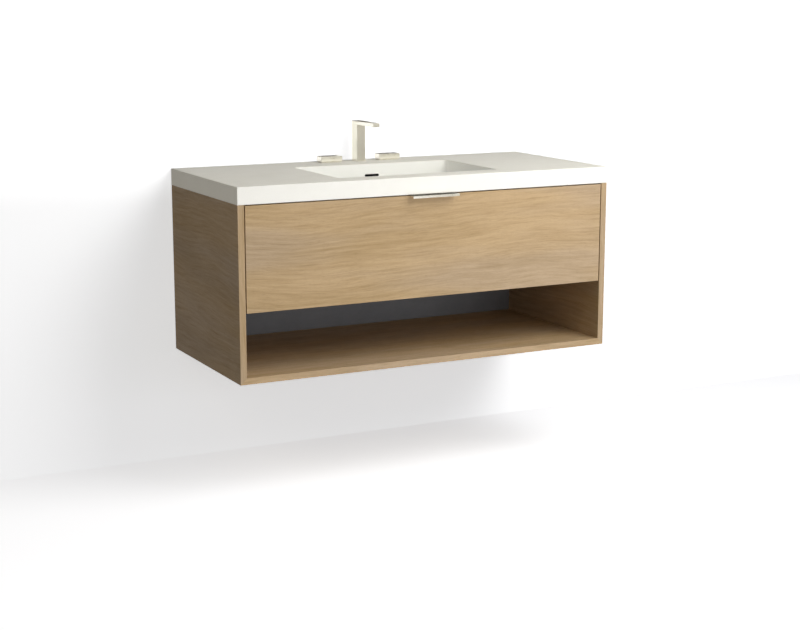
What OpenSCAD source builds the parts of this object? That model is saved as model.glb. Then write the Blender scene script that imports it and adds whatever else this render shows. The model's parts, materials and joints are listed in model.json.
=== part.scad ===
// Wall-hung bathroom vanity: a white solid-surface top with its basin bonded under the
// deck, on an oak cabinet with one deep drawer above an open shelf, and a three-piece
// faucet on the deck.
//
// The wall is the plane y = 0 and the front faces -y. The origin is the middle of the
// four holes that fix the back rails to the wall. Heights are worked out from the deck,
// the top face of the countertop. All sizes are in millimetres.

/* [Overall] */
// Width of the countertop
top_w = 1219.2; // [1000:0.1:1500]
// Depth of the countertop, from the wall to its front edge
top_d = 546.1; // [530:0.1:620]
// Height from the underside of the cabinet to the deck
total_h = 558.8; // [520:0.1:680]

/* [Countertop] */
// Height of the apron that shows as the slab's edge
apron_h = 50.8; // [45:0.1:65]
// Thickness of the deck sheet
deck_t = 14; // [10:0.5:20]
// Thickness of the strips that build up the front and side edges
apron_t = 30; // [26:1:34]
// Thickness of the strip along the wall
rear_rim_t = 22; // [20:1:24]
// Thickness of the two battens that stiffen the deck
batten_t = 12; // [8:1:20]
// Depth of the battens below the deck's underside
batten_h = 20; // [10:1:30]
// Radius on the slab's outer edges
slab_ease_r = 2; // [1:0.5:4]

/* [Basin] */
// Width of the basin at its rim
basin_w = 533.4; // [400:0.1:640]
// Depth of the basin from front to back, at its rim
basin_d = 330.2; // [280:0.1:350]
// Deck in front of the basin
basin_front = 76.2; // [76:0.1:84]
// Depth of the basin below the deck, at the drain
basin_depth = 127; // [100:1:135]
// Thickness of the basin's wall and floor
basin_wall = 12; // [9:0.5:13]
// How far each wall leans in from the rim to the floor
basin_draft = 5; // [2:0.5:12]
// Corner radius of the basin at its rim
basin_rim_r = 12; // [6:1:25]
// Corner radius of the basin lower down
basin_corner_r = 32; // [28:1:45]
// Radius between the walls and the floor
basin_floor_r = 25; // [15:1:26]
// Fall of the floor from its edge to the drain
basin_fall = 6; // [3:0.5:12]
// Bevel around the basin's rim
rim_bevel = 1.5; // [0.5:0.5:3]
// Width of the overflow slot in the back wall
overflow_w = 49; // [30:1:50]
// Height of the overflow slot
overflow_h = 7.5; // [5:0.5:12]
// Distance from the deck down to the middle of the overflow slot
overflow_drop = 37; // [32:1:50]

/* [Overflow duct] */
// Width of the duct that leads from the overflow slot to the drain
duct_w = 58; // [56:1:66]
// Depth of the duct across its flat side
duct_t = 16; // [13:0.5:18]
// Thickness of the duct's wall
duct_wall = 3; // [2:0.5:4]
// Radius inside the duct's bend
duct_bend_r = 8; // [4:1:12]

/* [Drain] */
// Radius of the drain hole in the basin
drain_hole_r = 22.25; // [22:0.05:24]
// Outer radius of the drain body below the flange
drain_body_r = 21.5; // [20.5:0.1:21.8]
// Radius of the waterway through the drain body
drain_bore_r = 17.5; // [17:0.1:18]
// Length of the drain body below the basin's floor
drain_body_len = 62; // [56:1:75]
// Radius of the drain flange
drain_flange_r = 33; // [31:0.5:36]
// Thickness of the drain flange
drain_flange_t = 4; // [3:0.5:5]
// Radius of the stopper's cap
stopper_r = 27.5; // [25:0.5:28.5]
// Thickness of the stopper's cap at its rim
stopper_t = 3; // [2:0.5:4]
// Radius of the stopper's stem
stopper_stem_r = 3; // [2.5:0.25:4]
// Length of the stopper's stem below the cap
stopper_stem_len = 45; // [42:1:55]
// Outer radius of the tailpiece, a standard slip-joint tube
tailpiece_r = 15.875; // [15:0.005:16]
// Wall of the tailpiece
tailpiece_wall = 1.2; // [1:0.1:2]
// Length of tailpiece that stands clear below the drain body
tailpiece_out = 60; // [40:1:80]

/* [Faucet] */
// Distance between the two handles' axes
faucet_spread = 203.2; // [152.4:0.1:304.8]
// Distance from the wall to the faucet's axes
faucet_setback = 47; // [45:1:52]
// Width of the spout's column
spout_w = 30; // [26:1:36]
// Width of the arm at its tip, to which it tapers from the column
spout_tip_w = 23; // [22:1:26]
// Depth of the spout's column
spout_d = 38; // [34:1:42]
// Height of the spout above the deck
spout_h = 127; // [100:1:160]
// Reach of the arm in front of the column
spout_reach = 109; // [95:1:140]
// Thickness of the arm
arm_t = 12; // [11:0.5:16]
// Radius in the corner under the arm
arm_fillet_r = 3; // [1:0.5:8]
// Radius on the spout's edges
spout_ease_r = 1.5; // [0.5:0.5:3]
// Height of the plinth under the column and of the plates under the handles
plinth_h = 3; // [2:0.5:4]
// How far the plinth stands out around the column
plinth_lip = 2; // [1:0.5:4]
// Outer radius of the spout's threaded shank
shank_r = 7.9; // [7:0.1:8.5]
// Length of the shank below the deck, its nipple included
shank_drop = 75; // [64:1:90]
// Radius of the nipple that the hose from the valves pushes on
nipple_r = 6.5; // [6:0.1:7]
// Length of that nipple
nipple_len = 18; // [14:1:24]
// Radius of the aerator
aerator_r = 9; // [8:0.5:10]
// Width of a handle
handle_w = 73.5; // [60:0.5:90]
// Depth of a handle
handle_d = 38; // [36:1:44]
// Height of a handle
handle_h = 16; // [15:0.5:24]
// Radius of a handle's upright corners
handle_corner_r = 3; // [2:0.5:12]
// Radius on a handle's top and bottom edges
handle_ease_r = 1; // [0.5:0.5:2]
// How far the plate under a handle is set back from its outline
handle_plate_inset = 3.5; // [2:0.5:6]
// Radius of a valve's threaded body through the deck
valve_r = 12; // [11:0.25:12.5]
// Length of a valve's body below the deck
valve_drop = 48; // [44:1:60]
// Radius of a valve's threaded inlet, a half-inch pipe thread
inlet_r = 10.4; // [9.5:0.1:10.8]
// Length of a valve's inlet below its body
inlet_len = 32; // [20:1:40]
// Radius of a valve's stem
stem_r = 4; // [3:0.25:5]

/* [Cabinet] */
// Thickness of the side and bottom panels and of the back rails
panel_t = 19; // [16:0.5:20]
// How far the cabinet's sides are set in from the countertop's ends
side_inset = 1; // [0.5:0.5:4]
// How far the cabinet's front is set back from the countertop's front edge
front_inset = 1; // [0.5:0.5:4]
// Distance from the deck down to the drawer front's lower edge
drawer_zone_h = 355.6; // [345:0.1:390]
// Thickness of the panel between the drawer and the shelf
divider_t = 16; // [12:0.5:19]
// Thickness of the panel behind the shelf
niche_back_t = 5; // [3:0.5:9]
// Width of the stretcher across the front, under the countertop
stretcher_w = 32; // [26:1:33]
// Height of the upper back rail
upper_rail_h = 95; // [80:1:120]
// Height of the lower back rail
lower_rail_h = 70; // [50:1:90]
// Length of a corner block along each of its two sides
corner_block_leg = 60; // [40:1:80]
// Radius of the dowels that join the cabinet's boards to its sides
dowel_r = 4; // [3:0.5:5]

/* [Wall fixing] */
// Distance between the fixing holes, two studs at 406.4
fixing_span = 812.8; // [609.6:0.1:812.8]
// Radius of the fixing holes
fixing_hole_r = 4.2; // [3:0.1:6]

/* [Drawer] */
// Gap around the drawer front
reveal = 3; // [2:0.5:4]
// Thickness of the drawer front
front_t = 19; // [16:0.5:20]
// Radius on the drawer front's edges
front_ease_r = 0.8; // [0.4:0.2:2]
// Thickness of the drawer box's boards
box_t = 15; // [12:0.5:16]
// Depth of the drawer box behind its front
box_d = 450; // [400:1:460]
// Height of the drawer box
box_h = 150; // [120:1:155]
// Thickness of the drawer's bottom
box_bottom_t = 9; // [6:0.5:12]
// Height of the drawer's bottom above the lower edge of its boards
box_bottom_up = 10; // [8:0.5:14]
// Depth of the groove that holds the drawer's bottom
groove_d = 6; // [4:0.5:8]
// Width of the notch that lets the drawer pass the drain
notch_w = 260; // [200:1:320]
// Distance from the drain's axis forward to the notch's front board
notch_ahead = 75; // [60:1:110]
// Gap between the drawer box and the divider under it
box_lift = 6; // [4:0.5:8]

/* [Dovetails] */
// Tails on each end of a drawer side
tail_count = 4; // [3:1:5]
// Width of a tail where it is widest, as a share of the tails' spacing
tail_share = 0.64; // [0.55:0.01:0.7]
// How far each flank of a tail leans over the thickness of a board
tail_lean = 2.5; // [1:0.5:3]

/* [Drawer slides] */
// Length of a slide's members
slide_len = 440; // [350:1:450]
// Space that a slide takes beside the drawer box
slide_w = 12.7; // [12.5:0.1:14]
// Height of a slide
slide_h = 45.6; // [44:0.2:48]
// Thickness of a slide's steel
steel_t = 1.2; // [1:0.1:1.3]
// Gap between one member's web and the next member
member_gap = 0.9; // [0.7:0.1:1.2]
// Radius of the balls between the cabinet member and the middle member
outer_ball_r = 2.3; // [2:0.1:2.5]
// Radius of the balls between the middle member and the drawer member
inner_ball_r = 1.5; // [1.2:0.1:1.6]
// Gap between a ball and its track
ball_play = 0.3; // [0.2:0.05:0.5]
// Balls in each row of a ball cage
balls_per_row = 8; // [4:1:10]
// Distance between neighbouring balls
ball_pitch = 22; // [12:1:24]

/* [Drawer pull] */
// Length of the pull
pull_w = 152.4; // [100:0.1:300]
// How far the pull stands out in front of the drawer front
pull_out = 25; // [18:0.5:35]
// Height of the pull's front lip
pull_lip_h = 7; // [6:0.5:14]
// Thickness of the pull's metal
pull_t = 1.5; // [1:0.1:1.8]
// Height of the leg behind the drawer front
pull_leg_h = 24; // [18:1:32]
// Distance between the pull's two screws
pull_screw_span = 127; // [60:1:127]

/* [Hidden] */
$fn = 48;

// Clearances
seat_gap = 0.1;     // between a stop or seal and what it meets
glue_gap = 0.1;     // around a board in its groove, and between two edge strips
screw_gap = 0.05;   // around a screw, a dowel or a thread
run_gap = 0.06;     // around a stem that turns or slides in its bore
handle_gap = 0.5;   // between a handle and the plate under it
through = 1;        // how far a cut runs past the face that it opens
slice_t = 0.02;     // thickness of the slices that a hull joins

// Finishes
cast_white = [0.95, 0.95, 0.93];
oak = [0.76, 0.65, 0.50];
birch = [0.87, 0.78, 0.62];
grey_laminate = [0.56, 0.56, 0.57];
nickel = [0.84, 0.81, 0.72];
zinc_steel = [0.72, 0.74, 0.76];
brass = [0.80, 0.66, 0.36];
black_rubber = [0.12, 0.12, 0.12];
black_plastic = [0.13, 0.13, 0.13];
bumper_clear = [0.80, 0.82, 0.84];

// Heights, from the deck down to the underside
upper_row_drop = apron_h + upper_rail_h / 2;
divider_top_drop = drawer_zone_h - divider_t;
lower_row_drop = divider_top_drop - lower_rail_h / 2;
deck_z = (upper_row_drop + lower_row_drop) / 2;
upper_row_z = deck_z - upper_row_drop;
lower_row_z = deck_z - lower_row_drop;
cabinet_top_z = deck_z - apron_h;
underside_z = deck_z - total_h;
niche_floor_z = underside_z + panel_t;
drawer_low_z = deck_z - drawer_zone_h;
divider_top_z = deck_z - divider_top_drop;
drawer_high_z = cabinet_top_z - reveal;

// Cabinet in plan
cabinet_half_w = top_w / 2 - side_inset;
inner_half_w = cabinet_half_w - panel_t;
cabinet_d = top_d - front_inset;
front_y = -cabinet_d;
front_back_y = front_y + front_t;
bumper_t = 2;
bumper_r = 5;
bumper_side_gap = 60;
divider_front_y = front_back_y + bumper_t + seat_gap;
stretcher_setback = 6;
stretcher_front_y = front_back_y + stretcher_setback;
stretcher_back_y = stretcher_front_y + stretcher_w;

// Dowels, as [y, z] on the inner face of a side panel
dowel_in_side = 12;
dowel_in_board = 20;
dowel_edge = 20;
divider_mid_z = (drawer_low_z + divider_top_z) / 2;
divider_mid_y = divider_front_y / 2;
stretcher_mid_y = (stretcher_front_y + stretcher_back_y) / 2;
stretcher_dowel_step = stretcher_w / 4;
divider_dowels = [for (y = [divider_front_y + dowel_edge, divider_mid_y, -dowel_edge])
    [y, divider_mid_z]];
stretcher_dowels = [for (turn = [-1, 1])
    [stretcher_mid_y + turn * stretcher_dowel_step, cabinet_top_z - panel_t / 2]];
upper_rail_dowels = [for (turn = [-1, 1])
    [-panel_t / 2, upper_row_z + turn * (upper_rail_h / 2 - dowel_edge)]];
lower_rail_dowels = [for (turn = [-1, 1])
    [-panel_t / 2, lower_row_z + turn * (lower_rail_h / 2 - dowel_edge)]];
all_dowels = concat(divider_dowels, stretcher_dowels, upper_rail_dowels,
    lower_rail_dowels);

// Basin
basin_y = -top_d + basin_front + basin_d / 2;
basin_back_y = basin_y + basin_d / 2;
basin_floor_z = deck_z - basin_depth;
basin_under_z = basin_floor_z - basin_wall;
drain_pad_r = drain_flange_r + 2;
basin_outer_half_w = basin_w / 2 + basin_wall;
batten_x = (basin_outer_half_w + top_w / 2 - apron_t) / 2;
min_corner_r = 4;
fillet_step = 15;

// Overflow
overflow_z = deck_z - overflow_drop;
overflow_pad = 2;
overflow_pad_low = 12;
duct_front_y = basin_back_y + basin_wall + overflow_pad;
duct_top_z = overflow_z + overflow_h / 2 + duct_wall + 2;
duct_low_z = basin_under_z - duct_t;
duct_end_r = duct_w / 2;

// Drain
dish_r = stopper_r + 1;
dish_floor_z = basin_floor_z + 1.5;
seal_t = 1.4;
seal_in_r = drain_bore_r + 1;
seal_out_r = seal_in_r + 4.5;
cap_z = dish_floor_z + seat_gap + seal_t;
cap_dome_r = 180;
dome_fn = 720;
drain_body_low_z = basin_floor_z - drain_body_len;
spider_z = basin_floor_z - 34;
spider_h = 6;
spider_bar_t = 4;
spider_hub_r = stopper_stem_r + 3;
port_w = 14;
port_low_z = duct_low_z + duct_wall;
port_h = duct_t - 2 * duct_wall;
gasket_t = 3;
gasket_r = 32;
lock_nut_h = 12;
lock_nut_r = 33;
collar_h = 10;
tail_low_z = drain_body_low_z - tailpiece_out;

// Faucet
faucet_y = -faucet_setback;
spout_top_z = deck_z + spout_h;
column_front_y = faucet_y - spout_d / 2;
column_back_y = faucet_y + spout_d / 2;
spout_tip_y = column_front_y - spout_reach;
aerator_y = spout_tip_y + spout_w / 2;
aerator_out = 1.5;
aerator_in = 4.5;
aerator_hole_r = 1.1;
aerator_holes = 6;
waterway_r = 5.5;
waterway_w = 14;
waterway_h = 4;
arm_mid_z = spout_top_z - arm_t / 2;
taper_y = column_front_y - arm_fillet_r - 2;
shank_in = 12;
shank_low_z = deck_z - shank_drop;
nipple_wall = 1.2;
spout_hole_r = 13;
washer_t = 3;
washer_lip = 6;
faucet_nut_h = 8;
faucet_nut_lip = 6;
deck_under_z = deck_z - deck_t;
nut_top_z = deck_under_z - washer_t;
valve_hole_r = valve_r + 2.5;
plate_top_z = deck_z + plinth_h;
valve_collar_r = valve_r + 2;
valve_collar_t = 2;
bonnet_r = 8;
bonnet_h = 4;
stem_low_z = deck_z - 25;
stem_foot_gap = 5;
inlet_bore_r = 6;
inlet_roof_gap = 3;
outlet_r = 6;
outlet_bore_r = 4;
outlet_len = 12;
outlet_z = deck_z - valve_drop + outlet_r + 2;
handle_low_z = plate_top_z + handle_gap;
handle_high_z = handle_low_z + handle_h;
handle_cavity_r = valve_collar_r + 1.5;
handle_cavity_h = valve_collar_t + bonnet_h + 1.5;
stem_high_z = handle_high_z - 2.5;
set_screw_r = 1.75;
set_screw_z = (handle_low_z + handle_cavity_h + stem_high_z) / 2;
set_screw_sink = 2;

// Slides, measured from the side panel's inner face
hook_r = outer_ball_r + ball_play + steel_t;
outer_race_v = slide_h / 2 - hook_r;
middle_u = steel_t + member_gap;
middle_v = outer_race_v - outer_ball_r - ball_play;
inner_race_v = middle_v - steel_t - ball_play - inner_ball_r;
inner_u = middle_u + steel_t + member_gap;
inner_v = inner_race_v - inner_ball_r - ball_play;
member_depth = slide_w - inner_u;
inner_ball_u = (inner_u + middle_u + member_depth) / 2;
cage_t = 0.4;
cage_strip_h = 1.2;
cage_reach = 0.75;
bend_r = 1.8;
middle_shorter = 6;
slide_front_y = front_back_y + 5;
box_low_z = divider_top_z + box_lift;
box_high_z = box_low_z + box_h;
slide_z = box_low_z + box_h / 2;
slide_screw_ys = [for (part = [0.08, 0.5, 0.9]) slide_front_y + part * slide_len];
small_screw_r = 1.7;
small_head_r = 3.2;
small_head_h = 1.1;
cabinet_screw_len = 13;
drawer_screw_len = 11;

// Drawer box
box_half_w = inner_half_w - slide_w;
box_inner_half_w = box_half_w - box_t;
box_back_y = front_back_y + box_d;
notch_half_w = notch_w / 2;
notch_front_y = basin_y - notch_ahead;
floor_low_z = box_low_z + box_bottom_up;
floor_high_z = floor_low_z + box_bottom_t;
floor_in = groove_d - glue_gap;
front_half_w = inner_half_w - reveal;
tail_pitch = box_h / tail_count;
tail_half_w = tail_pitch * tail_share / 2;
front_screw_xs = [for (part = [-0.7, -0.25, 0.25, 0.7]) part * box_inner_half_w];
front_screw_zs = [for (part = [0.3, 0.8]) box_low_z + part * box_h];
screw_r = 2;
screw_head_r = 4;
screw_head_h = 2.4;
front_screw_bite = 12;

// Pull
pull_lip_t = 2;
pull_bend_r = 2;
pull_high_z = drawer_high_z + pull_t;
pull_front_y = front_y - pull_out;
pull_back_y = front_back_y + pull_t;
pull_screw_z = drawer_high_z - pull_leg_h * 0.6;
pull_screw_bite = 13;

// ---- Shapes that repeat ----

// A block between two opposite corners
module block(low, high) {
    translate(low) cube(high - low);
}

// An outline drawn as [x, z], swept from y0 back to y1
module along_y(y0, y1) {
    translate([0, y1, 0]) rotate([90, 0, 0]) linear_extrude(y1 - y0) children();
}

// An outline drawn as [y, z], swept from x0 to x1
module along_x(x0, x1) {
    translate([x0, 0, 0]) rotate([90, 0, 90]) linear_extrude(x1 - x0) children();
}

// A rectangle with round corners, centred
module rounded_rect(w, d, r) {
    square([w - 2 * r, d], center = true);
    square([w, d - 2 * r], center = true);
    for (sx = [-1, 1], sy = [-1, 1])
        translate([sx * (w / 2 - r), sy * (d / 2 - r)]) circle(r);
}

// A block with round upright corners and eased top and bottom edges, standing on z = 0
module eased_block(w, d, h, corner_r, ease_r) {
    intersection() {
        linear_extrude(h) rounded_rect(w, d, corner_r);
        along_x(-w / 2, w / 2) translate([0, h / 2]) rounded_rect(d, h, ease_r);
        along_y(-d / 2, d / 2) translate([0, h / 2]) rounded_rect(w, h, ease_r);
    }
}

// What is drawn for the left side, on the left (-1) or mirrored to the right (1)
module on_side(side) {
    if (side < 0) children();
    else mirror([1, 0, 0]) children();
}

// A ring or washer that stands on z
module ring(outer_r, inner_r, z, h) {
    translate([0, 0, z]) difference() {
        cylinder(h, r = outer_r);
        translate([0, 0, -through]) cylinder(h + 2 * through, r = inner_r);
    }
}

// A six-sided nut that stands on z, given the radius to its corners
module hex_nut(corner_r, inner_r, z, h) {
    translate([0, 0, z]) difference() {
        cylinder(h, r = corner_r, $fn = 6);
        translate([0, 0, -through]) cylinder(h + 2 * through, r = inner_r);
    }
}

// A rod along x, from x0 to x1
module rod_x(r, x0, x1, y, z) {
    translate([x0, y, z]) rotate([0, 90, 0]) cylinder(x1 - x0, r = r);
}

// A rod along y, from y0 to y1
module rod_y(r, x, y0, y1, z) {
    translate([x, y1, z]) rotate([90, 0, 0]) cylinder(y1 - y0, r = r);
}

// ---- Countertop ----

// One thin level of the basin's form, at a distance below the deck
module basin_slice(drop, w, d, r) {
    translate([0, basin_y, deck_z - drop - slice_t / 2])
        linear_extrude(slice_t) rounded_rect(w, d, r);
}

// The basin's form, grown outwards by its wall, from a distance below the deck to its
// floor. The walls lean in, turn through a round fillet and fall gently to the drain.
module basin_form(grow, start_drop) {
    bend_r = basin_floor_r + grow;
    wall_drop = basin_depth - basin_fall - basin_floor_r;
    hull() {
        basin_slice(start_drop, basin_w + 2 * grow, basin_d + 2 * grow,
            basin_rim_r + grow, $fn = 32);
        for (turn = [0 : fillet_step : 90]) {
            inset = basin_draft - grow + bend_r * (1 - cos(turn));
            corner_r = max(min_corner_r, basin_corner_r + grow - bend_r * (1 - cos(turn)));
            basin_slice(wall_drop + bend_r * sin(turn), basin_w - 2 * inset,
                basin_d - 2 * inset, corner_r, $fn = 32);
        }
        translate([0, basin_y, deck_z - basin_depth - grow])
            cylinder(slice_t, r = drain_pad_r, $fn = 32);
    }
}

// The bevel around the basin's rim
module basin_rim_cut() {
    hull() for (side = [-1, 1]) {
        spread = rim_bevel * (1 - side);
        basin_slice(side * rim_bevel, basin_w + 2 * spread, basin_d + 2 * spread,
            basin_rim_r + spread, $fn = 32);
    }
}

// The overflow slot's outline
module overflow_outline() {
    translate([0, overflow_z]) rounded_rect(overflow_w, overflow_h, overflow_h / 2 - 0.01);
}

// The outline of the finished top, from which the deck and its edge strips are cut
module top_envelope() {
    translate([0, -top_d / 2, cabinet_top_z])
        eased_block(top_w, top_d, apron_h, slab_ease_r, slab_ease_r);
}

// The deck sheet, with the basin's opening and the faucet's holes
module countertop() {
    color(cast_white)
    difference() {
        intersection() {
            top_envelope();
            block([-top_w, -top_d - through, deck_under_z], [top_w, through, deck_z + through]);
        }
        basin_form(0, -through);
        basin_rim_cut();
        translate([0, faucet_y, deck_under_z - through])
            cylinder(deck_t + 2 * through, r = spout_hole_r);
        for (side = [-1, 1])
            translate([side * faucet_spread / 2, faucet_y, deck_under_z - through])
                cylinder(deck_t + 2 * through, r = valve_hole_r);
    }
}

// The basin, bonded under the deck so that its walls run on from the opening
module basin() {
    color(cast_white)
    difference() {
        union() {
            basin_form(basin_wall, deck_t + slice_t / 2);
            // flat pad that the overflow duct is bonded to
            block([-duct_w / 2, basin_back_y + basin_wall / 2,
                    overflow_z - overflow_h / 2 - overflow_pad_low],
                [duct_w / 2, duct_front_y, deck_under_z]);
        }
        basin_form(0, -through);
        translate([0, basin_y, basin_under_z - through])
            cylinder(basin_wall + 2 * through, r = drain_hole_r);
        along_y(basin_back_y - basin_draft - through, duct_front_y + through)
            overflow_outline();
    }
}

// The strips bonded under the deck's edges, which make it look as thick as the apron,
// and two battens beside the basin
module edge_strips() {
    half_w = top_w / 2;
    inner_w = half_w - apron_t;
    strip_y = -top_d + apron_t;
    color(cast_white) {
        intersection() {
            top_envelope();
            union() {
                block([-half_w, -top_d, cabinet_top_z], [half_w, strip_y, deck_under_z]);
                for (side = [-1, 1])
                    on_side(side) block([-half_w, strip_y + glue_gap, cabinet_top_z],
                        [-inner_w, 0, deck_under_z]);
                block([-inner_w + glue_gap, -rear_rim_t, cabinet_top_z],
                    [inner_w - glue_gap, 0, deck_under_z]);
            }
        }
        for (side = [-1, 1])
            block([side * batten_x - batten_t / 2, strip_y + glue_gap,
                    deck_under_z - batten_h],
                [side * batten_x + batten_t / 2, -rear_rim_t - glue_gap, deck_under_z]);
    }
}

// The duct's side outline, [y, z]: down the back of the basin, round a bend and
// forward under its floor. An inset gives the outline of the passage inside it.
module duct_outline(inset, front_end_y) {
    near = duct_bend_r + inset;
    far = duct_bend_r + duct_t - inset;
    bend_y = duct_front_y - duct_bend_r;
    bend_z = basin_under_z + duct_bend_r;
    translate([bend_y + near, bend_z]) square([far - near, duct_top_z - inset - bend_z]);
    translate([front_end_y, bend_z - far]) square([bend_y - front_end_y, far - near]);
    translate([bend_y, bend_z]) intersection() {
        difference() {
            circle(far);
            circle(near);
        }
        translate([0, -far]) square([far, far]);
    }
}

module overflow_duct() {
    color(black_plastic)
    difference() {
        union() {
            along_x(-duct_w / 2, duct_w / 2) duct_outline(0, basin_y);
            translate([0, basin_y, duct_low_z]) cylinder(duct_t, r = duct_end_r);
        }
        along_x(-duct_w / 2 + duct_wall, duct_w / 2 - duct_wall)
            duct_outline(duct_wall, basin_y);
        along_y(duct_front_y - through, duct_front_y + duct_wall + through)
            overflow_outline();
        translate([0, basin_y, duct_low_z - through])
            cylinder(duct_t + 2 * through, r = drain_hole_r);
    }
}

// ---- Drain ----

module drain_flange() {
    color(nickel)
    translate([0, basin_y, 0]) {
        difference() {
            union() {
                translate([0, 0, basin_floor_z]) cylinder(drain_flange_t, r = drain_flange_r);
                translate([0, 0, drain_body_low_z]) cylinder(drain_body_len, r = drain_body_r);
            }
            translate([0, 0, dish_floor_z]) cylinder(drain_flange_t, r = dish_r);
            translate([0, 0, drain_body_low_z - through])
                cylinder(drain_body_len + drain_flange_t + through, r = drain_bore_r);
            for (turn = [90, 210, 330])
                rotate([0, 0, turn])
                    block([0, -port_w / 2, port_low_z],
                        [drain_body_r + through, port_w / 2, port_low_z + port_h]);
        }
        // spider that guides the stopper's stem
        difference() {
            union() {
                translate([0, 0, spider_z]) cylinder(spider_h, r = spider_hub_r);
                for (turn = [30, 150, 270])
                    rotate([0, 0, turn])
                        block([0, -spider_bar_t / 2, spider_z],
                            [drain_bore_r + (drain_body_r - drain_bore_r) / 2,
                                spider_bar_t / 2, spider_z + spider_h]);
            }
            translate([0, 0, spider_z - through])
                cylinder(spider_h + 2 * through, r = stopper_stem_r + run_gap);
        }
    }
}

module drain_gasket() {
    color(black_rubber)
    translate([0, basin_y, 0])
        ring(gasket_r, drain_body_r + screw_gap, duct_low_z - gasket_t, gasket_t);
}

module drain_lock_nut() {
    color(zinc_steel)
    translate([0, basin_y, 0])
        hex_nut(lock_nut_r, drain_body_r + screw_gap,
            duct_low_z - gasket_t - lock_nut_h, lock_nut_h);
}

module drain_tailpiece() {
    color(nickel)
    translate([0, basin_y, 0])
    difference() {
        union() {
            translate([0, 0, tail_low_z])
                cylinder(tailpiece_out + collar_h, r = tailpiece_r);
            translate([0, 0, drain_body_low_z]) cylinder(collar_h, r = drain_bore_r - screw_gap);
        }
        translate([0, 0, tail_low_z - through])
            cylinder(tailpiece_out + collar_h + 2 * through,
                r = tailpiece_r - tailpiece_wall);
    }
}

module drain_stopper() {
    color(nickel)
    translate([0, basin_y, 0]) {
        translate([0, 0, cap_z]) rotate_extrude() intersection() {
            square([stopper_r, 2 * stopper_t]);
            translate([0, stopper_t - sqrt(cap_dome_r * cap_dome_r - stopper_r * stopper_r)])
                circle(cap_dome_r, $fn = dome_fn);
        }
        translate([0, 0, cap_z - stopper_stem_len])
            cylinder(stopper_stem_len + stopper_t / 2, r = stopper_stem_r);
    }
}

module stopper_seal() {
    color(black_rubber)
    translate([0, basin_y, 0]) ring(seal_out_r, seal_in_r, cap_z - seal_t, seal_t);
}

// ---- Faucet ----

// The spout's side outline, [y, z]: a column, an arm and the fillet between them
module spout_outline() {
    translate([column_front_y, plate_top_z])
        square([spout_d, spout_top_z - plate_top_z]);
    translate([spout_tip_y, spout_top_z - arm_t])
        square([spout_reach + spout_d, arm_t]);
    translate([column_front_y - arm_fillet_r, spout_top_z - arm_t - arm_fillet_r])
        difference() {
            square(arm_fillet_r + slice_t);
            circle(arm_fillet_r);
        }
}

// The spout seen from above: wide enough for the column, then narrowing along the arm. Its
// flanks meet the spout's sides where the taper starts.
module spout_plan() {
    slope = (spout_w - spout_tip_w) / 2 / (taper_y - spout_tip_y);
    back_half_w = spout_w / 2 + slope * (through - taper_y);
    front_half_w = spout_tip_w / 2 - slope * through;
    polygon([[-back_half_w, through], [-front_half_w, spout_tip_y - through],
        [front_half_w, spout_tip_y - through], [back_half_w, through]]);
}

module spout_body() {
    plan_d = spout_reach + spout_d;
    color(nickel)
    difference() {
        intersection() {
            along_x(-spout_w / 2, spout_w / 2) spout_outline();
            translate([0, spout_tip_y + plan_d / 2, plate_top_z])
                eased_block(spout_w, plan_d, spout_top_z - plate_top_z, spout_ease_r,
                    spout_ease_r);
            translate([0, 0, plate_top_z - through])
                linear_extrude(spout_top_z - plate_top_z + 2 * through) spout_plan();
        }
        // threaded socket, waterway and the aerator's seat
        translate([0, faucet_y, plate_top_z - through])
            cylinder(shank_in + through, r = shank_r + screw_gap);
        translate([0, faucet_y, plate_top_z])
            cylinder(arm_mid_z + waterway_h / 2 - plate_top_z, r = waterway_r);
        block([-waterway_w / 2, aerator_y, arm_mid_z - waterway_h / 2],
            [waterway_w / 2, faucet_y, arm_mid_z + waterway_h / 2]);
        translate([0, aerator_y, spout_top_z - arm_t - through])
            cylinder(aerator_in + through, r = aerator_r + screw_gap);
    }
}

module spout_plinth() {
    color(nickel)
    translate([0, faucet_y, deck_z]) difference() {
        eased_block(spout_w + 2 * plinth_lip, spout_d + 2 * plinth_lip, plinth_h,
            spout_ease_r + plinth_lip, plinth_h / 4);
        translate([0, 0, -through])
            cylinder(plinth_h + 2 * through, r = shank_r + screw_gap);
    }
}

module spout_aerator() {
    low_z = spout_top_z - arm_t - aerator_out;
    color(zinc_steel)
    translate([0, aerator_y, low_z]) difference() {
        cylinder(aerator_out + aerator_in, r = aerator_r);
        translate([0, 0, aerator_out / 2])
            cylinder(aerator_in + aerator_out, r = aerator_r - 1.5);
        translate([0, 0, -through]) cylinder(3 * through, r = aerator_hole_r);
        for (turn = [0 : 360 / aerator_holes : 359])
            rotate([0, 0, turn]) translate([aerator_r / 2, 0, -through])
                cylinder(3 * through, r = aerator_hole_r);
    }
}

// A threaded tube from the spout's socket down through the deck, and its nipple
module spout_shank() {
    thread_low_z = shank_low_z + nipple_len;
    high_z = plate_top_z + shank_in - seat_gap;
    color(brass)
    translate([0, faucet_y, 0]) difference() {
        union() {
            translate([0, 0, thread_low_z]) cylinder(high_z - thread_low_z, r = shank_r);
            translate([0, 0, shank_low_z]) cylinder(nipple_len + through, r = nipple_r);
        }
        translate([0, 0, shank_low_z - through])
            cylinder(high_z - shank_low_z + 2 * through, r = nipple_r - nipple_wall);
    }
}

module spout_lock_nut() {
    color(brass)
    translate([0, faucet_y, 0])
        hex_nut(shank_r + faucet_nut_lip, shank_r + screw_gap, nut_top_z - faucet_nut_h,
            faucet_nut_h);
}

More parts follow.
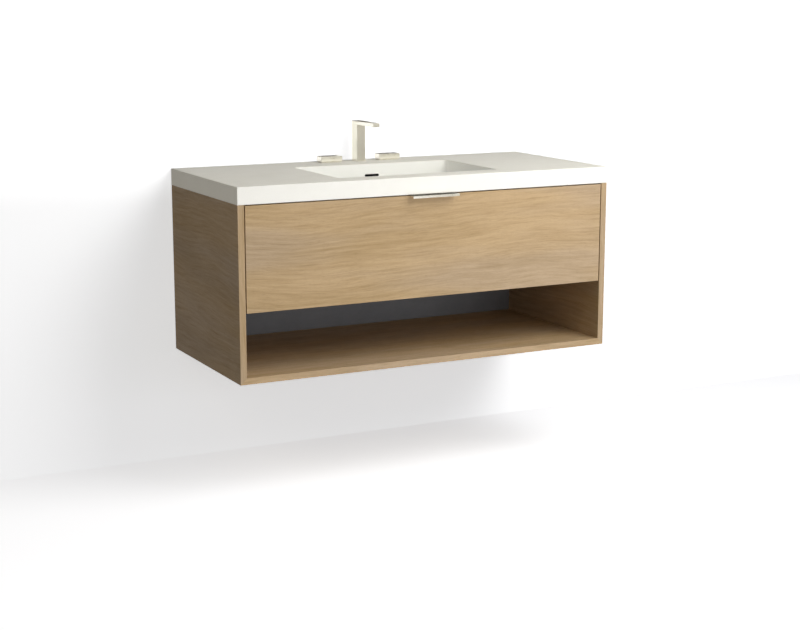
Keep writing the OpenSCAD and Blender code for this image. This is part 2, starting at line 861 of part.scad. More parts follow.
module faucet_washers() {
    color(black_rubber) {
        translate([0, faucet_y, 0])
            ring(spout_hole_r + washer_lip, shank_r + screw_gap, nut_top_z, washer_t);
        for (side = [-1, 1])
            translate([side * faucet_spread / 2, faucet_y, 0])
                ring(valve_hole_r + washer_lip, valve_r + screw_gap, nut_top_z, washer_t);
    }
}

// A valve: collar on its plate, threaded body through the deck, inlet below and an
// outlet that faces the spout
module valve_body(side) {
    low_z = deck_z - valve_drop - inlet_len;
    top_z = plate_top_z + valve_collar_t + bonnet_h;
    well_z = stem_low_z - stem_foot_gap;
    color(brass)
    translate([side * faucet_spread / 2, faucet_y, 0])
    difference() {
        union() {
            translate([0, 0, plate_top_z]) cylinder(valve_collar_t, r = valve_collar_r);
            translate([0, 0, plate_top_z])
                cylinder(valve_collar_t + bonnet_h, r = bonnet_r);
            translate([0, 0, deck_z - valve_drop])
                cylinder(valve_drop + plinth_h + through, r = valve_r);
            translate([0, 0, low_z]) cylinder(inlet_len + through, r = inlet_r);
            on_side(side) rod_x(outlet_r, 0, valve_r + outlet_len, 0, outlet_z);
        }
        translate([0, 0, well_z]) cylinder(top_z - well_z + through, r = stem_r + run_gap);
        translate([0, 0, low_z - through])
            cylinder(well_z - low_z + through - inlet_roof_gap, r = inlet_bore_r);
        on_side(side) rod_x(outlet_bore_r, 0, valve_r + outlet_len + through, 0, outlet_z);
    }
}

module hot_valve_body() {
    valve_body(-1);
}

module cold_valve_body() {
    valve_body(1);
}

module valve_lock_nuts() {
    color(brass)
    for (side = [-1, 1])
        translate([side * faucet_spread / 2, faucet_y, 0])
            hex_nut(valve_r + faucet_nut_lip, valve_r + screw_gap, nut_top_z - faucet_nut_h,
                faucet_nut_h);
}

module handle_plates() {
    inset = handle_plate_inset;
    color(nickel)
    for (side = [-1, 1])
        translate([side * faucet_spread / 2, faucet_y, deck_z]) difference() {
            eased_block(handle_w - 2 * inset, handle_d - 2 * inset, plinth_h,
                handle_corner_r - inset / 2, plinth_h / 4);
            translate([0, 0, -through])
                cylinder(plinth_h + 2 * through, r = valve_r + screw_gap);
        }
}

module valve_stem(side) {
    color(brass)
    translate([side * faucet_spread / 2, faucet_y, stem_low_z])
        cylinder(stem_high_z - stem_low_z, r = stem_r);
}

module hot_valve_stem() {
    valve_stem(-1);
}

module cold_valve_stem() {
    valve_stem(1);
}

module handle(side) {
    color(nickel)
    translate([side * faucet_spread / 2, faucet_y, 0]) difference() {
        translate([0, 0, handle_low_z])
            eased_block(handle_w, handle_d, handle_h, handle_corner_r, handle_ease_r);
        translate([0, 0, handle_low_z - through])
            cylinder(handle_cavity_h + through, r = handle_cavity_r);
        translate([0, 0, handle_low_z])
            cylinder(stem_high_z + seat_gap - handle_low_z, r = stem_r + screw_gap);
        rod_y(set_screw_r + screw_gap, 0, 0, handle_d / 2 + through, set_screw_z);
    }
}

module hot_handle() {
    handle(-1);
}

module cold_handle() {
    handle(1);
}

// The set screw behind a handle, which holds it on its stem
module handle_set_screw(side) {
    color(zinc_steel)
    translate([side * faucet_spread / 2, faucet_y, 0])
        rod_y(set_screw_r, 0, stem_r, handle_d / 2 - set_screw_sink, set_screw_z);
}

module hot_handle_set_screw() {
    handle_set_screw(-1);
}

module cold_handle_set_screw() {
    handle_set_screw(1);
}

// ---- Cabinet ----

// The dowels at one list of places, on both sides, with room around them for holes
module dowels(places, room) {
    for (side = [-1, 1], place = places)
        on_side(side)
            rod_x(dowel_r + room, -inner_half_w - dowel_in_side - room,
                -inner_half_w + dowel_in_board + room, place[0], place[1]);
}

// A countersunk screw that points along -x from a face at x
module side_screw(x, y, z, length, room) {
    translate([x, y, z]) rotate([0, -90, 0]) {
        translate([0, 0, -room]) cylinder(small_head_h + room, r1 = small_head_r + 2 * room,
            r2 = small_screw_r + 2 * room);
        cylinder(length + room, r = small_screw_r + room);
    }
}

// The screws that hold a slide's cabinet member to the side panel
module cabinet_screws(room) {
    for (y = slide_screw_ys)
        side_screw(-inner_half_w + steel_t, y, slide_z, cabinet_screw_len, room);
}

module side_panel(side) {
    color(oak)
    on_side(side) difference() {
        along_y(front_y, 0)
            polygon([[-cabinet_half_w, cabinet_top_z], [-cabinet_half_w, underside_z],
                [-inner_half_w, niche_floor_z], [-inner_half_w, cabinet_top_z]]);
        dowels(all_dowels, screw_gap);
        cabinet_screws(screw_gap);
    }
}

module left_side_panel() {
    side_panel(-1);
}

module right_side_panel() {
    side_panel(1);
}

// The bottom is mitred to the sides, so that no end grain shows
module bottom_panel() {
    color(oak)
    along_y(front_y, 0)
        polygon([[-cabinet_half_w, underside_z], [cabinet_half_w, underside_z],
            [inner_half_w, niche_floor_z], [-inner_half_w, niche_floor_z]]);
}

module divider_panel() {
    color(oak)
    difference() {
        block([-inner_half_w, divider_front_y, drawer_low_z],
            [inner_half_w, 0, divider_top_z]);
        dowels(divider_dowels, screw_gap);
    }
}

module niche_back_panel() {
    color(grey_laminate)
    block([-inner_half_w, -niche_back_t, niche_floor_z], [inner_half_w, 0, drawer_low_z]);
}

module front_stretcher() {
    color(birch)
    difference() {
        block([-inner_half_w, stretcher_front_y, cabinet_top_z - panel_t],
            [inner_half_w, stretcher_back_y, cabinet_top_z]);
        dowels(stretcher_dowels, screw_gap);
    }
}

// A back rail with its two wall-fixing holes
module back_rail(low_z, high_z, row_z, places) {
    color(birch)
    difference() {
        block([-inner_half_w, -panel_t, low_z], [inner_half_w, 0, high_z]);
        for (side = [-1, 1])
            rod_y(fixing_hole_r, side * fixing_span / 2, -panel_t - through, through, row_z);
        dowels(places, screw_gap);
    }
}

module upper_back_rail() {
    back_rail(cabinet_top_z - upper_rail_h, cabinet_top_z, upper_row_z, upper_rail_dowels);
}

module lower_back_rail() {
    back_rail(divider_top_z, divider_top_z + lower_rail_h, lower_row_z, lower_rail_dowels);
}

module corner_blocks() {
    color(birch)
    for (side = [-1, 1], corner = [[stretcher_back_y, 1], [-panel_t, -1]])
        on_side(side) translate([0, 0, cabinet_top_z - panel_t]) linear_extrude(panel_t)
            polygon([[-inner_half_w, corner[0]],
                [-inner_half_w + corner_block_leg, corner[0]],
                [-inner_half_w, corner[0] + corner[1] * corner_block_leg]]);
}

module carcass_dowels() {
    color(birch) dowels(all_dowels, 0);
}

module drawer_bumpers() {
    color(bumper_clear)
    for (side = [-1, 1])
        rod_y(bumper_r, side * (inner_half_w - bumper_side_gap),
            front_back_y + seat_gap, divider_front_y, divider_mid_z);
}

// ---- Drawer slides ----

// A channel with rolled bends, open towards +u, its web at u = 0
module channel_outline(depth, half_v, t, r) {
    difference() {
        translate([depth, 0]) rounded_rect(2 * depth, 2 * half_v, r);
        translate([depth, 0]) rounded_rect(2 * (depth - t), 2 * (half_v - t), r - t);
        translate([depth, -half_v - through])
            square([depth + through, 2 * (half_v + through)]);
    }
}

// The cabinet member: a web with a rolled hook along each edge, where the balls run
module cabinet_member_outline() {
    translate([0, -outer_race_v]) square([steel_t, 2 * outer_race_v]);
    for (turn = [0, 1])
        mirror([0, turn]) translate([hook_r, outer_race_v]) difference() {
            circle(hook_r);
            circle(hook_r - steel_t);
            translate([-hook_r - through, -hook_r - through])
                square([2 * (hook_r + through), hook_r + through]);
        }
}

// Puts an outline, drawn as [distance from the side panel, height], on the left side
module member(y0, y1) {
    along_y(y0, y1) translate([-inner_half_w, slide_z]) children();
}

module slide_cabinet_member(side) {
    color(zinc_steel)
    on_side(side) difference() {
        member(slide_front_y, slide_front_y + slide_len) cabinet_member_outline();
        cabinet_screws(screw_gap);
    }
}

module left_slide_cabinet_member() {
    slide_cabinet_member(-1);
}

module right_slide_cabinet_member() {
    slide_cabinet_member(1);
}

module slide_middle_member(side) {
    color(zinc_steel)
    on_side(side)
        member(slide_front_y + middle_shorter / 2,
            slide_front_y + slide_len - middle_shorter / 2)
            translate([middle_u, 0])
                channel_outline(member_depth, middle_v, steel_t, bend_r);
}

module left_slide_middle_member() {
    slide_middle_member(-1);
}

module right_slide_middle_member() {
    slide_middle_member(1);
}

// A ball cage: a thin web with a strip along each edge, which holds a row of balls.
// The first ball of a row is half a row before the middle of the slide.
module ball_cage(side, web_u, race_u, race_v, ball_r, strip_out) {
    row_d = (balls_per_row - 1) * ball_pitch;
    mid_y = slide_front_y + slide_len / 2;
    color(zinc_steel)
    on_side(side) {
        member(mid_y - row_d / 2 - ball_pitch / 2, mid_y + row_d / 2 + ball_pitch / 2)
            translate([web_u, 0]) {
                translate([0, -race_v]) square([cage_t, 2 * race_v]);
                for (turn = [-1, 1])
                    translate([0, turn * race_v - cage_strip_h / 2])
                        square([race_u + strip_out - web_u, cage_strip_h]);
            }
        for (turn = [-1, 1], i = [0 : balls_per_row - 1])
            translate([-inner_half_w + race_u, mid_y - row_d / 2 + i * ball_pitch,
                    slide_z + turn * race_v])
                sphere(ball_r);
    }
}

module outer_ball_cage(side) {
    ball_cage(side, steel_t + (member_gap - cage_t) / 2, hook_r, outer_race_v,
        outer_ball_r, outer_ball_r * cage_reach);
}

module inner_ball_cage(side) {
    ball_cage(side, middle_u + steel_t + (member_gap - cage_t) / 2, inner_ball_u,
        inner_race_v, inner_ball_r, inner_ball_r * cage_reach);
}

module left_outer_ball_cage() {
    outer_ball_cage(-1);
}

module right_outer_ball_cage() {
    outer_ball_cage(1);
}

module left_inner_ball_cage() {
    inner_ball_cage(-1);
}

module right_inner_ball_cage() {
    inner_ball_cage(1);
}

// The screws that hold a slide's drawer member to the drawer's side
module drawer_screws(room) {
    for (y = slide_screw_ys)
        translate([-inner_half_w + slide_w - steel_t, y, slide_z])
            mirror([1, 0, 0]) side_screw(0, 0, 0, drawer_screw_len, room);
}

module slide_drawer_member(side) {
    color(zinc_steel)
    on_side(side) difference() {
        member(slide_front_y, slide_front_y + slide_len)
            translate([slide_w, 0]) mirror([1, 0])
                channel_outline(member_depth, inner_v, steel_t, bend_r);
        drawer_screws(screw_gap);
    }
}

module left_slide_drawer_member() {
    slide_drawer_member(-1);
}

module right_slide_drawer_member() {
    slide_drawer_member(1);
}

module cabinet_slide_screws() {
    color(zinc_steel)
    for (side = [-1, 1])
        on_side(side) cabinet_screws(0);
}

module drawer_slide_screws() {
    color(zinc_steel)
    for (side = [-1, 1])
        on_side(side) drawer_screws(0);
}

// ---- Drawer ----

// The screws that hold the drawer front to the box behind it
module front_screws(room) {
    for (x = front_screw_xs, z = front_screw_zs) {
        rod_y(screw_r + room, x, front_back_y - front_screw_bite - room,
            front_back_y + box_t + room, z);
        rod_y(screw_head_r + room, x, front_back_y + box_t - room,
            front_back_y + box_t + screw_head_h + room, z);
    }
}

// The screws that hold the pull's leg to the back of the drawer front
module pull_screw_set(room) {
    for (side = [-1, 1]) {
        rod_y(small_screw_r + room, side * pull_screw_span / 2,
            front_back_y - pull_screw_bite - room, pull_back_y + small_head_h,
            pull_screw_z);
        rod_y(small_head_r + room, side * pull_screw_span / 2, pull_back_y,
            pull_back_y + small_head_h, pull_screw_z);
    }
}

module drawer_front() {
    color(oak)
    difference() {
        translate([0, front_y + front_t / 2, drawer_low_z])
            eased_block(2 * front_half_w, front_t, drawer_high_z - drawer_low_z,
                front_ease_r, front_ease_r);
        front_screws(screw_gap);
        pull_screw_set(screw_gap);
    }
}

// The pull's side outline, [y, z]: a leg behind the drawer front, a plate over its top
// edge and a lip in front
module pull_outline() {
    bend_y = pull_front_y + pull_bend_r;
    bend_z = pull_high_z - pull_bend_r;
    translate([front_back_y, drawer_high_z - pull_leg_h])
        square([pull_t, pull_leg_h + pull_t]);
    translate([bend_y, drawer_high_z]) square([pull_back_y - bend_y, pull_t]);
    translate([pull_front_y, pull_high_z - pull_lip_h])
        square([pull_lip_t, pull_lip_h - pull_bend_r]);
    translate([bend_y, bend_z]) intersection() {
        circle(pull_bend_r);
        translate([-pull_bend_r, 0]) square(pull_bend_r);
    }
}

module drawer_pull() {
    color(nickel)
    difference() {
        along_x(-pull_w / 2, pull_w / 2) pull_outline();
        pull_screw_set(screw_gap);
    }
}

module pull_screws() {
    color(nickel) pull_screw_set(0);
}

module drawer_front_screws() {
    color(zinc_steel) front_screws(0);
}

// A slot for the drawer's bottom, at the height of its groove
module floor_groove(low, high) {
    block([low[0], low[1], floor_low_z - glue_gap], [high[0], high[1], floor_high_z + glue_gap]);
}

// The tails at one end of a drawer side, [y, z]; they widen towards the board's end,
// and the board lies on the side that into, -1 or 1, points to
module tails(end_y, into) {
    for (i = [0 : tail_count - 1]) {
        z = box_low_z + (i + 0.5) * tail_pitch;
        polygon([[end_y, z - tail_half_w], [end_y, z + tail_half_w],
            [end_y + into * box_t, z + tail_half_w - tail_lean],
            [end_y + into * box_t, z - tail_half_w + tail_lean]]);
    }
}

// What is cut from a drawer side's end, so that only its tails are left
module between_tails(end_y, into) {
    difference() {
        translate([end_y + (into - 1) * box_t / 2, box_low_z - through])
            square([box_t, box_h + 2 * through]);
        tails(end_y, into);
    }
}

module drawer_inner_front() {
    inner_y = front_back_y + box_t;
    reach_x = box_inner_half_w + groove_d;
    color(birch)
    difference() {
        block([-box_half_w, front_back_y, box_low_z], [box_half_w, inner_y, box_high_z]);
        for (side = [-1, 1])
            on_side(side)
                along_x(-box_half_w - through, -box_inner_half_w) tails(front_back_y, 1);
        floor_groove([-reach_x, inner_y - groove_d], [reach_x, inner_y + through]);
        front_screws(screw_gap);
    }
}

module drawer_side(side) {
    color(birch)
    on_side(side) difference() {
        block([-box_half_w, front_back_y, box_low_z],
            [-box_inner_half_w, box_back_y, box_high_z]);
        along_x(-box_half_w - through, -box_inner_half_w + through) {
            between_tails(front_back_y, 1);
            between_tails(box_back_y, -1);
        }
        floor_groove([-box_inner_half_w - groove_d, front_back_y - through],
            [-box_inner_half_w + through, box_back_y + through]);
        drawer_screws(screw_gap);
    }
}

module drawer_side_left() {
    drawer_side(-1);
}

module drawer_side_right() {
    drawer_side(1);
}

// The two back boards, one on each side of the notch
module drawer_backs() {
    color(birch)
    for (side = [-1, 1])
        on_side(side) difference() {
            block([-box_half_w, box_back_y - box_t, box_low_z],
                [-notch_half_w - box_t, box_back_y, box_high_z]);
            along_x(-box_half_w - through, -box_inner_half_w) tails(box_back_y, -1);
            floor_groove([-box_inner_half_w - groove_d, box_back_y - box_t - through],
                [-notch_half_w - box_t + through, box_back_y - box_t + groove_d]);
        }
}

// The two boards along the notch
module drawer_notch_sides() {
    color(birch)
    for (side = [-1, 1])
        on_side(side) difference() {
            block([-notch_half_w - box_t, notch_front_y, box_low_z],
                [-notch_half_w, box_back_y, box_high_z]);
            floor_groove([-notch_half_w - box_t - through, notch_front_y - through],
                [-notch_half_w - box_t + groove_d, box_back_y + through]);
        }
}

module drawer_notch_front() {
    half_w = notch_half_w + box_t;
    color(birch)
    difference() {
        block([-half_w, notch_front_y - box_t, box_low_z],
            [half_w, notch_front_y, box_high_z]);
        floor_groove([-half_w - through, notch_front_y - box_t - through],
            [half_w + through, notch_front_y - box_t + groove_d]);
        // the bottom runs on past this board's ends, in the notch sides' grooves
        for (side = [-1, 1])
            on_side(side)
                floor_groove([-half_w - through, notch_front_y - box_t - through],
                    [-half_w + groove_d, notch_front_y + through]);
    }
}

module drawer_bottom() {
    reach_x = box_inner_half_w + floor_in;
    notch_x = notch_half_w + box_t - floor_in;
    color(birch)
    difference() {
        block([-reach_x, front_back_y + box_t - floor_in, floor_low_z],
            [reach_x, box_back_y - box_t + floor_in, floor_high_z]);
        block([-notch_x, notch_front_y - box_t + floor_in, floor_low_z - through],
            [notch_x, box_back_y + through, floor_high_z + through]);
    }
}

// ---- Assembly ----

countertop();
basin();
edge_strips();
left_side_panel();
right_side_panel();
bottom_panel();
divider_panel();
niche_back_panel();
front_stretcher();
upper_back_rail();
lower_back_rail();
corner_blocks();
carcass_dowels();
overflow_duct();
drain_flange();
drain_gasket();
drain_lock_nut();
drain_tailpiece();
drain_stopper();
stopper_seal();
spout_body();
spout_plinth();
spout_aerator();
spout_shank();
spout_lock_nut();
faucet_washers();
hot_valve_body();
cold_valve_body();
valve_lock_nuts();
handle_plates();
hot_valve_stem();
cold_valve_stem();
hot_handle();
cold_handle();
hot_handle_set_screw();
cold_handle_set_screw();
left_slide_cabinet_member();
right_slide_cabinet_member();
cabinet_slide_screws();
drawer_bumpers();
left_slide_middle_member();
right_slide_middle_member();
left_outer_ball_cage();
right_outer_ball_cage();
left_inner_ball_cage();
right_inner_ball_cage();
left_slide_drawer_member();
right_slide_drawer_member();
drawer_slide_screws();
drawer_front();
drawer_pull();
pull_screws();
drawer_inner_front();
drawer_side_left();
drawer_side_right();
drawer_backs();
drawer_notch_sides();
drawer_notch_front();
drawer_bottom();
drawer_front_screws();
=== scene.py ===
# %% [markdown]
# # A wall-hung vanity in oak, white solid surface and satin nickel
#
# This lesson dresses a bathroom vanity whose boards, fittings and joints already exist as
# exact solids. We load them as a fixed frame, set a camera and soft studio light around
# them, mix every finish from procedural nodes, and model by hand the few pieces whose
# roundness decides how they catch the light: the handles, the spout and the pull. All
# lengths are in metres, the wall is the plane y = 0 and the front faces -y.

# %% Load the frame
import json
import math

import bmesh
import bpy
from mathutils import Matrix, Vector


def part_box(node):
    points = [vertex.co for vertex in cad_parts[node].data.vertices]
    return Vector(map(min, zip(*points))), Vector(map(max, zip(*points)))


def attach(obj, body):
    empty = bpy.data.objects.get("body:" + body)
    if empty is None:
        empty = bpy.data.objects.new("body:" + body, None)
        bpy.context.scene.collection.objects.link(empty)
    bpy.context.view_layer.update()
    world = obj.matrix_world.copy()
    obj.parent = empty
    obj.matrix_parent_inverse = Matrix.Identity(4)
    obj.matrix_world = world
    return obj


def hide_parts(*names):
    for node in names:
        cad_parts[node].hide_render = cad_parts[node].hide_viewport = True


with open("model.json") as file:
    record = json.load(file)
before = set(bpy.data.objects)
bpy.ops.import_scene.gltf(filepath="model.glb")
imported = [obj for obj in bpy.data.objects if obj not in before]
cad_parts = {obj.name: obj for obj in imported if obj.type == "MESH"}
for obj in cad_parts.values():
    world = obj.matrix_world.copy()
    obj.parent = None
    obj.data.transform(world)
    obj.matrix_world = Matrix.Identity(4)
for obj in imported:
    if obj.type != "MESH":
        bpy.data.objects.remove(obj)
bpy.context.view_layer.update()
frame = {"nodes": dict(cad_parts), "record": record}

MM = 0.001

# %% [markdown]
# ## The camera
#
# The vanity is seen from its front left, a little from above. The straight edges of the
# cabinet fix such a view: their vanishing points give the lens, and the corners give the
# place. A camera is easiest to steer as a chain of turns: heading about the upright axis,
# then tilt, then a trace of roll about the camera's own axis.

# %% Camera
IMAGE_WIDTH = 800
FOCAL_PIXELS = 1583.5
SENSOR_WIDTH_MM = 36.0
CAMERA_PLACE = Vector((-2.1814, -4.5852, 0.70835))
HEADING = math.radians(27.173)
TILT_DOWN = math.radians(11.317)
ROLL = math.radians(0.06)

bpy.ops.object.camera_add(location=(0, 0, 0))
camera = bpy.context.object
camera.name = "portrait_camera"
camera.data.sensor_fit = "HORIZONTAL"
camera.data.sensor_width = SENSOR_WIDTH_MM
camera.data.lens = FOCAL_PIXELS / IMAGE_WIDTH * SENSOR_WIDTH_MM
camera.matrix_world = (
    Matrix.Translation(CAMERA_PLACE)
    @ Matrix.Rotation(-HEADING, 4, "Z")
    @ Matrix.Rotation(math.radians(90) - TILT_DOWN, 4, "X")
    @ Matrix.Rotation(ROLL, 4, "Z")
)
bpy.context.scene.camera = camera
print("lens in mm:", round(camera.data.lens, 2))

# %% [markdown]
# ## Small helpers for nodes
#
# A material is a graph. Writing each node, its settings and its links line by line is
# long, so one helper makes a node, sets plain values and links sockets in a single call.
# The next ones write maths, stretch a vector, and mix. A Mix node has its sockets once for
# each kind of data, so a small table says which ones to use.

# %% Node helpers
MIX_SOCKETS = {"VECTOR": (0, 4, 5), "RGBA": (0, 6, 7)}
MIX_RESULT = {"VECTOR": 1, "RGBA": 2}


def feed(tree, socket, value):
    """Links the socket to another socket, or sets a plain value on it."""
    if isinstance(value, bpy.types.NodeSocket):
        tree.links.new(value, socket)
    else:
        socket.default_value = value


def node(tree, kind, settings=None, **values):
    made = tree.nodes.new("ShaderNode" + kind)
    for name, value in (settings or {}).items():
        setattr(made, name, value)
    for name, value in values.items():
        feed(tree, made.inputs[name.replace("_", " ")], value)
    return made


def maths(tree, operation, *values):
    made = node(tree, "Math", {"operation": operation})
    for socket, value in zip(made.inputs, values):
        feed(tree, socket, value)
    return made.outputs[0]


def plus(tree, first, second):
    return maths(tree, "ADD", first, second)


def minus(tree, first, second):
    return maths(tree, "SUBTRACT", first, second)


def times(tree, first, second):
    return maths(tree, "MULTIPLY", first, second)


def parts_of(tree, vector):
    return node(tree, "SeparateXYZ", Vector=vector).outputs


def stretched(tree, vector, scale, place=(0, 0, 0)):
    mapping = node(tree, "Mapping", Vector=vector, Scale=scale, Location=place)
    return mapping.outputs[0]


def noise(tree, vector, scale=1.0, detail=3.0, roughness=0.5):
    made = node(tree, "TexNoise", Vector=vector, Scale=scale, Detail=detail,
        Roughness=roughness)
    return made.outputs["Fac"]


def mix(tree, data_type, factor, first, second, **settings):
    made = node(tree, "Mix", {"data_type": data_type, **settings})
    for index, value in zip(MIX_SOCKETS[data_type], (factor, first, second)):
        feed(tree, made.inputs[index], value)
    return made.outputs[MIX_RESULT[data_type]]


def blend_colours(tree, factor, first, second):
    return mix(tree, "RGBA", factor, first, second)


def tint(tree, factor, colour, by):
    return mix(tree, "RGBA", factor, colour, by, blend_type="MULTIPLY")


def mix_shaders(tree, factor, first, second):
    made = node(tree, "MixShader")
    for socket, value in zip(made.inputs, (factor, first, second)):
        tree.links.new(value, socket)
    return made.outputs[0]


def spread(tree, value, low, high, new_low=0.0, new_high=1.0):
    made = node(tree, "MapRange", {"clamp": True}, Value=value, From_Min=low, From_Max=high,
        To_Min=new_low, To_Max=new_high)
    return made.outputs[0]


def new_group(name, inputs, outputs):
    tree = bpy.data.node_groups.new(name, "ShaderNodeTree")
    for title, kind, start in inputs:
        socket = tree.interface.new_socket(title, in_out="INPUT", socket_type=kind)
        if start is not None:
            socket.default_value = start
    for title, kind in outputs:
        tree.interface.new_socket(title, in_out="OUTPUT", socket_type=kind)
    return tree, tree.nodes.new("NodeGroupInput").outputs, tree.nodes.new("NodeGroupOutput")


def use_group(tree, group, **values):
    return node(tree, "Group", {"node_tree": group}, **values).outputs


FLOAT = "NodeSocketFloat"
VECTOR = "NodeSocketVector"
print("node helpers are ready")

# %% [markdown]
# ## Shared effects
#
# Wood, birch and even the pull's brushing share a few effects, so each effect is built
# once as a node group. The grain group takes a vector whose first part runs along the
# board, second part across its face and third part into it. It bends the rings with slow
# noise, which draws the broad arcs of crown-cut veneer, and adds fibres and pores.

# %% Grain group
# Waves per metre along the board, across its face and into it
SLOW_WAVES = (1.7, 3.0, 3.0)
QUICK_WAVES = (9.0, 21.0, 21.0)
CLOUD_WAVES = (1.9, 13.0, 13.0)
STREAK_WAVES = (6.5, 120.0, 120.0)
DASH_WAVES = (11.0, 300.0, 300.0)
FIBRE_WAVES = (30.0, 1100.0, 1100.0)
PORE_WAVES = (70.0, 1600.0, 1600.0)
# How much each of them counts in the figure
STREAK_SHARE = 0.60
CLOUD_SHARE = 0.40
RING_SHARE = 0.07
DASH_SHARE = 0.14
# How far the clouds push the rings out of step, as an angle
CLOUD_SWING = 26.0
# Noise lies round its middle, and a mask starts and ends at these values of it
NOISE_MIDDLE = 0.5
RING_RANGE = (0.42, 0.62)
DASH_RANGE = (0.56, 0.70)
PORE_RANGE = (0.60, 0.72)


def build_grain():
    tree, given, result = new_group("Wood grain",
        [("Vector", VECTOR, None), ("Sweep", FLOAT, 0.10), ("Ripple", FLOAT, 0.012),
            ("Ring", FLOAT, 0.016)],
        [("Figure", FLOAT), ("Fibre", FLOAT), ("Pores", FLOAT)])
    board = given["Vector"]
    parts = parts_of(tree, board)
    slow = noise(tree, stretched(tree, board, SLOW_WAVES), detail=1.5)
    quick = noise(tree, stretched(tree, board, QUICK_WAVES), detail=3.0)
    arc = times(tree, minus(tree, slow, NOISE_MIDDLE), given["Sweep"])
    wave = times(tree, minus(tree, quick, NOISE_MIDDLE), given["Ripple"])
    across = plus(tree, parts[1], plus(tree, arc, wave))
    bent = node(tree, "CombineXYZ", X=parts[0], Y=across, Z=parts[2]).outputs[0]
    cloud = noise(tree, stretched(tree, bent, CLOUD_WAVES), detail=3.0)
    streak = noise(tree, stretched(tree, bent, STREAK_WAVES), detail=4.0, roughness=0.6)
    dash = noise(tree, stretched(tree, bent, DASH_WAVES), detail=2.0)
    turns = maths(tree, "DIVIDE", across, given["Ring"])
    swing = plus(tree, times(tree, turns, math.tau), times(tree, cloud, CLOUD_SWING))
    ring = maths(tree, "MULTIPLY_ADD", maths(tree, "SINE", swing), 0.5, 0.5)
    ring = times(tree, ring, spread(tree, slow, *RING_RANGE))
    figure = plus(tree, times(tree, streak, STREAK_SHARE), times(tree, cloud, CLOUD_SHARE))
    figure = minus(tree, figure, times(tree, ring, RING_SHARE))
    figure = minus(tree, figure, spread(tree, dash, *DASH_RANGE, 0.0, DASH_SHARE))
    fibre = noise(tree, stretched(tree, bent, FIBRE_WAVES), detail=2.0)
    pits = noise(tree, stretched(tree, bent, PORE_WAVES), detail=1.0)
    tree.links.new(figure, result.inputs["Figure"])
    tree.links.new(fibre, result.inputs["Fibre"])
    tree.links.new(spread(tree, pits, *PORE_RANGE), result.inputs["Pores"])
    return tree


grain = build_grain()
print("grain group:", len(grain.nodes), "nodes")

# %% [markdown]
# Hands, cloths and limescale leave a surface unevenly dull. This group gives one mask for
# that: wide soft clouds with finer smears inside. Each finish decides how strongly it
# shows. The last group gives the tiny pits and hills that every moulded or cast surface
# has, as a height.

# %% Smudge group and stipple group
SMEAR_WAVES = (60, 140, 140)
WIDE_SHARE = 0.7
SMUDGE_RANGE = (0.35, 0.65)
SPECK_FINENESS = 2.3
SPECK_RANGE = (0.66, 0.74)


def build_smudge():
    tree, given, result = new_group("Smudges",
        [("Vector", VECTOR, None), ("Size", FLOAT, 9.0)], [("Mask", FLOAT)])
    wide = noise(tree, given["Vector"], given["Size"], detail=4.0, roughness=0.6)
    fine = noise(tree, stretched(tree, given["Vector"], SMEAR_WAVES), detail=2.0)
    both = plus(tree, times(tree, wide, WIDE_SHARE), times(tree, fine, 1 - WIDE_SHARE))
    tree.links.new(spread(tree, both, *SMUDGE_RANGE), result.inputs["Mask"])
    return tree


def build_stipple():
    tree, given, result = new_group("Stipple",
        [("Vector", VECTOR, None), ("Size", FLOAT, 700.0)],
        [("Height", FLOAT), ("Specks", FLOAT)])
    hills = noise(tree, given["Vector"], given["Size"], detail=3.0, roughness=0.6)
    specks = noise(tree, given["Vector"], times(tree, given["Size"], SPECK_FINENESS),
        detail=0.0)
    tree.links.new(hills, result.inputs["Height"])
    tree.links.new(spread(tree, specks, *SPECK_RANGE), result.inputs["Specks"])
    return tree


smudge = build_smudge()
stipple = build_stipple()
print("shared groups:", [group.name for group in bpy.data.node_groups])

# %% [markdown]
# ## Finishes
#
# Every finish starts from the same kit: a Principled shader, the object's own coordinates
# and a Bevel node, which lets the light see a fine rounding on edges that are sharp in
# the mesh. The finish then feeds colour, roughness and height from the shared groups.

# %% A start for every finish
def start_finish(name, edge_radius=0.5 * MM, metal=0.0, roughness=0.5, specular=0.5):
    material = bpy.data.materials.new(name)
    material.use_nodes = True
    tree = material.node_tree
    tree.nodes.clear()
    output = tree.nodes.new("ShaderNodeOutputMaterial")
    shader = tree.nodes.new("ShaderNodeBsdfPrincipled")
    shader.inputs["Metallic"].default_value = metal
    shader.inputs["Roughness"].default_value = roughness
    shader.inputs["Specular IOR Level"].default_value = specular
    tree.links.new(shader.outputs[0], output.inputs["Surface"])
    place = tree.nodes.new("ShaderNodeTexCoord")
    edge = node(tree, "Bevel", {"samples": 4}, Radius=edge_radius)
    return material, tree, shader, place, edge.outputs[0]


def raise_surface(tree, shader, edge_normal, height, depth, strength=0.5):
    bump = node(tree, "Bump", Height=height, Distance=depth, Strength=strength,
        Normal=edge_normal)
    tree.links.new(bump.outputs[0], shader.inputs["Normal"])


# Which parts of a place run along the grain, across the face and into the board
GRAIN_ORDER = {"X": (0, 2, 1), "Y": (1, 2, 0), "Z": (2, 0, 1)}
# A surface faces an axis when its normal has at least this much of it
FACING = 0.7


def along_board(tree, place, grain_axis, offset):
    parts = parts_of(tree, place.outputs["Object"])
    run, across, into = GRAIN_ORDER[grain_axis]
    start = plus(tree, parts[run], offset)
    return node(tree, "CombineXYZ", X=start, Y=parts[across], Z=parts[into]).outputs[0]


def facing(tree, place, axis):
    parts = parts_of(tree, place.outputs["Normal"])
    size = maths(tree, "ABSOLUTE", parts["XYZ".index(axis)])
    return maths(tree, "GREATER_THAN", size, FACING)


print("a finish starts with a Principled shader and a Bevel node")

